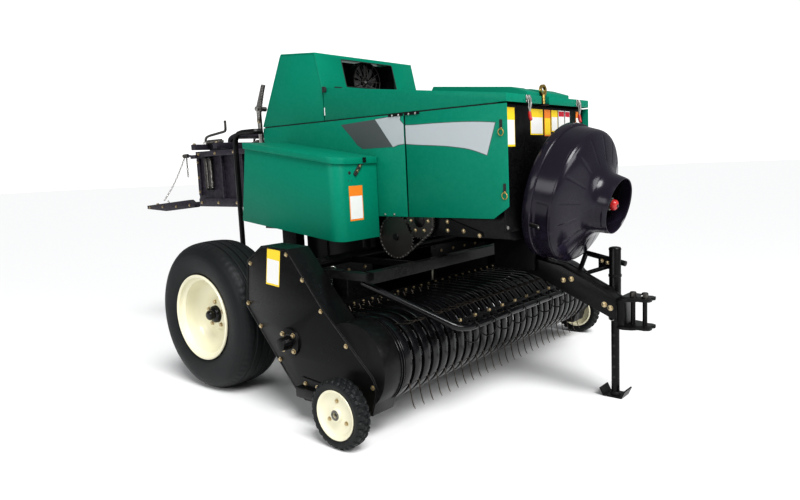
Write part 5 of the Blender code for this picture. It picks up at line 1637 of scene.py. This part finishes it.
def tripTrim():
    parts = [(bolts([(-0.405, -0.3065, 1.470), (-0.400, -0.3065, 1.400)], (0, -1, 0), 0.011, 0.010),
              "goldZinc"),
             (springShape((-0.392, -0.318, 1.395), (-0.330, -0.318, 1.590), 0.010, 0.0022, 22),
              "darkSteel")]
    twine = smoothCurve([(-0.300, -0.330, 1.240), (-0.310, -0.332, 1.300), (-0.330, -0.326, 1.340),
                         (-0.310, -0.320, 1.365), (-0.290, -0.325, 1.350)], 24)
    parts.append((sweptShape(twine, 0.0050, (0, 1, 0), 8), "whitePaint"))
    arc = np.linspace(0.3, 5.2, 30)
    loop = np.stack([-0.300 + 0.024 * np.cos(arc), -0.335 + 0.003 * arc, 1.300 + 0.030 * np.sin(arc)],
                    -1)
    parts.append((sweptShape(loop, 0.0045, (0, 1, 0), 8), "whitePaint"))
    makePiece("trip_hardware", "frame", parts)


tripTrim()
print("chamber and knotters")


def placeCamera():
    # the camera looks along fwd, rolled a little about it
    at = np.array([2.8045, -2.7826, 1.1175])
    yaw, pitch, roll = (math.radians(angle) for angle in (129.9451, -7.2268, -2.5032))
    forward = np.array([math.cos(yaw) * math.cos(pitch), math.sin(yaw) * math.cos(pitch),
                        math.sin(pitch)])
    right = np.array([math.sin(yaw), -math.cos(yaw), 0.0])
    up = np.cross(right, forward)
    turnedRight = right * math.cos(roll) + up * math.sin(roll)
    turnedUp = -right * math.sin(roll) + up * math.cos(roll)
    data = bpy.data.cameras.new("camera")
    camera = bpy.data.objects.new("camera", data)
    bpy.context.scene.collection.objects.link(camera)
    matrix = np.eye(4)
    matrix[:3, 0], matrix[:3, 1], matrix[:3, 2], matrix[:3, 3] = turnedRight, turnedUp, -forward, at
    camera.matrix_world = Matrix(matrix.tolist())
    data.sensor_width = 36.0
    data.lens = 659.687 / 800 * 36.0
    data.shift_x = (400.0 - 411.935) / 800
    data.shift_y = (246.304 - 250.0) / 800
    data.clip_end = 60.0
    bpy.context.scene.camera = camera


def areaLight(name, at, target, size, power, colour=(1, 1, 1)):
    data = bpy.data.lights.new(name, "AREA")
    data.shape = "RECTANGLE"
    data.size, data.size_y = size
    data.energy = power
    data.color = colour
    lamp = bpy.data.objects.new(name, data)
    bpy.context.scene.collection.objects.link(lamp)
    back = unit(np.asarray(at, float) - np.asarray(target, float))
    across, other, _ = basis(back)
    matrix = np.eye(4)
    matrix[:3, 0], matrix[:3, 1], matrix[:3, 2], matrix[:3, 3] = across, other, back, at
    lamp.matrix_world = Matrix(matrix.tolist())


light = dict(backdrop=1.0, ambient=0.26, sun=2.6, sunSpread=28.0)


def studio():
    # the backdrop is pale where it is seen and dimmer where it only lights, so that dark paint stays dark
    floorMaterial = bpy.data.materials.new("studioFloor")
    floorMaterial.use_nodes = True
    shader = floorMaterial.node_tree.nodes["Principled BSDF"]
    shader.inputs["Base Color"].default_value = (0.88, 0.88, 0.88, 1)
    shader.inputs["Roughness"].default_value = 1.0
    shader.inputs["Specular IOR Level"].default_value = 0.0
    mesh = bpy.data.meshes.new("floor")
    mesh.from_pydata([(-60, -60, 0), (60, -60, 0), (60, 60, 0), (-60, 60, 0)], [], [(0, 1, 2, 3)])
    mesh.materials.append(floorMaterial)
    floor = bpy.data.objects.new("floor", mesh)
    bpy.context.scene.collection.objects.link(floor)
    world = bpy.data.worlds.new("studio")
    bpy.context.scene.world = world
    world.use_nodes = True
    tree = world.node_tree
    seen = tree.nodes["Background"]
    seen.inputs["Color"].default_value = (1.0, 1.0, 1.0, 1)
    seen.inputs["Strength"].default_value = light["backdrop"]
    lit = addNode(tree, "ShaderNodeBackground",
                  {"Color": (0.96, 0.98, 1.0, 1), "Strength": light["ambient"]})
    rays = addNode(tree, "ShaderNodeLightPath")
    either = addNode(tree, "ShaderNodeMixShader",
                     {0: rays.outputs["Is Camera Ray"], 1: lit.outputs[0], 2: seen.outputs[0]})
    tree.links.new(either.outputs[0], tree.nodes["World Output"].inputs["Surface"])
    data = bpy.data.lights.new("sun", "SUN")
    data.energy = light["sun"]
    data.angle = math.radians(light["sunSpread"])
    lamp = bpy.data.objects.new("sun", data)
    bpy.context.scene.collection.objects.link(lamp)
    back = unit([0.55, -0.28, 0.80])
    across, other, _ = basis(back)
    matrix = np.eye(4)
    matrix[:3, 0], matrix[:3, 1], matrix[:3, 2] = across, other, back
    lamp.matrix_world = Matrix(matrix.tolist())
    areaLight("fill", (0.4, -5.2, 2.4), (0.2, 0, 0.8), (3.2, 1.6), 60)
    areaLight("front", (4.6, -0.6, 2.6), (1.0, 0, 0.8), (2.4, 1.4), 60)
    bpy.context.scene.view_settings.view_transform = "Standard"
    bpy.context.scene.view_settings.look = "Medium High Contrast"


placeCamera()
studio()
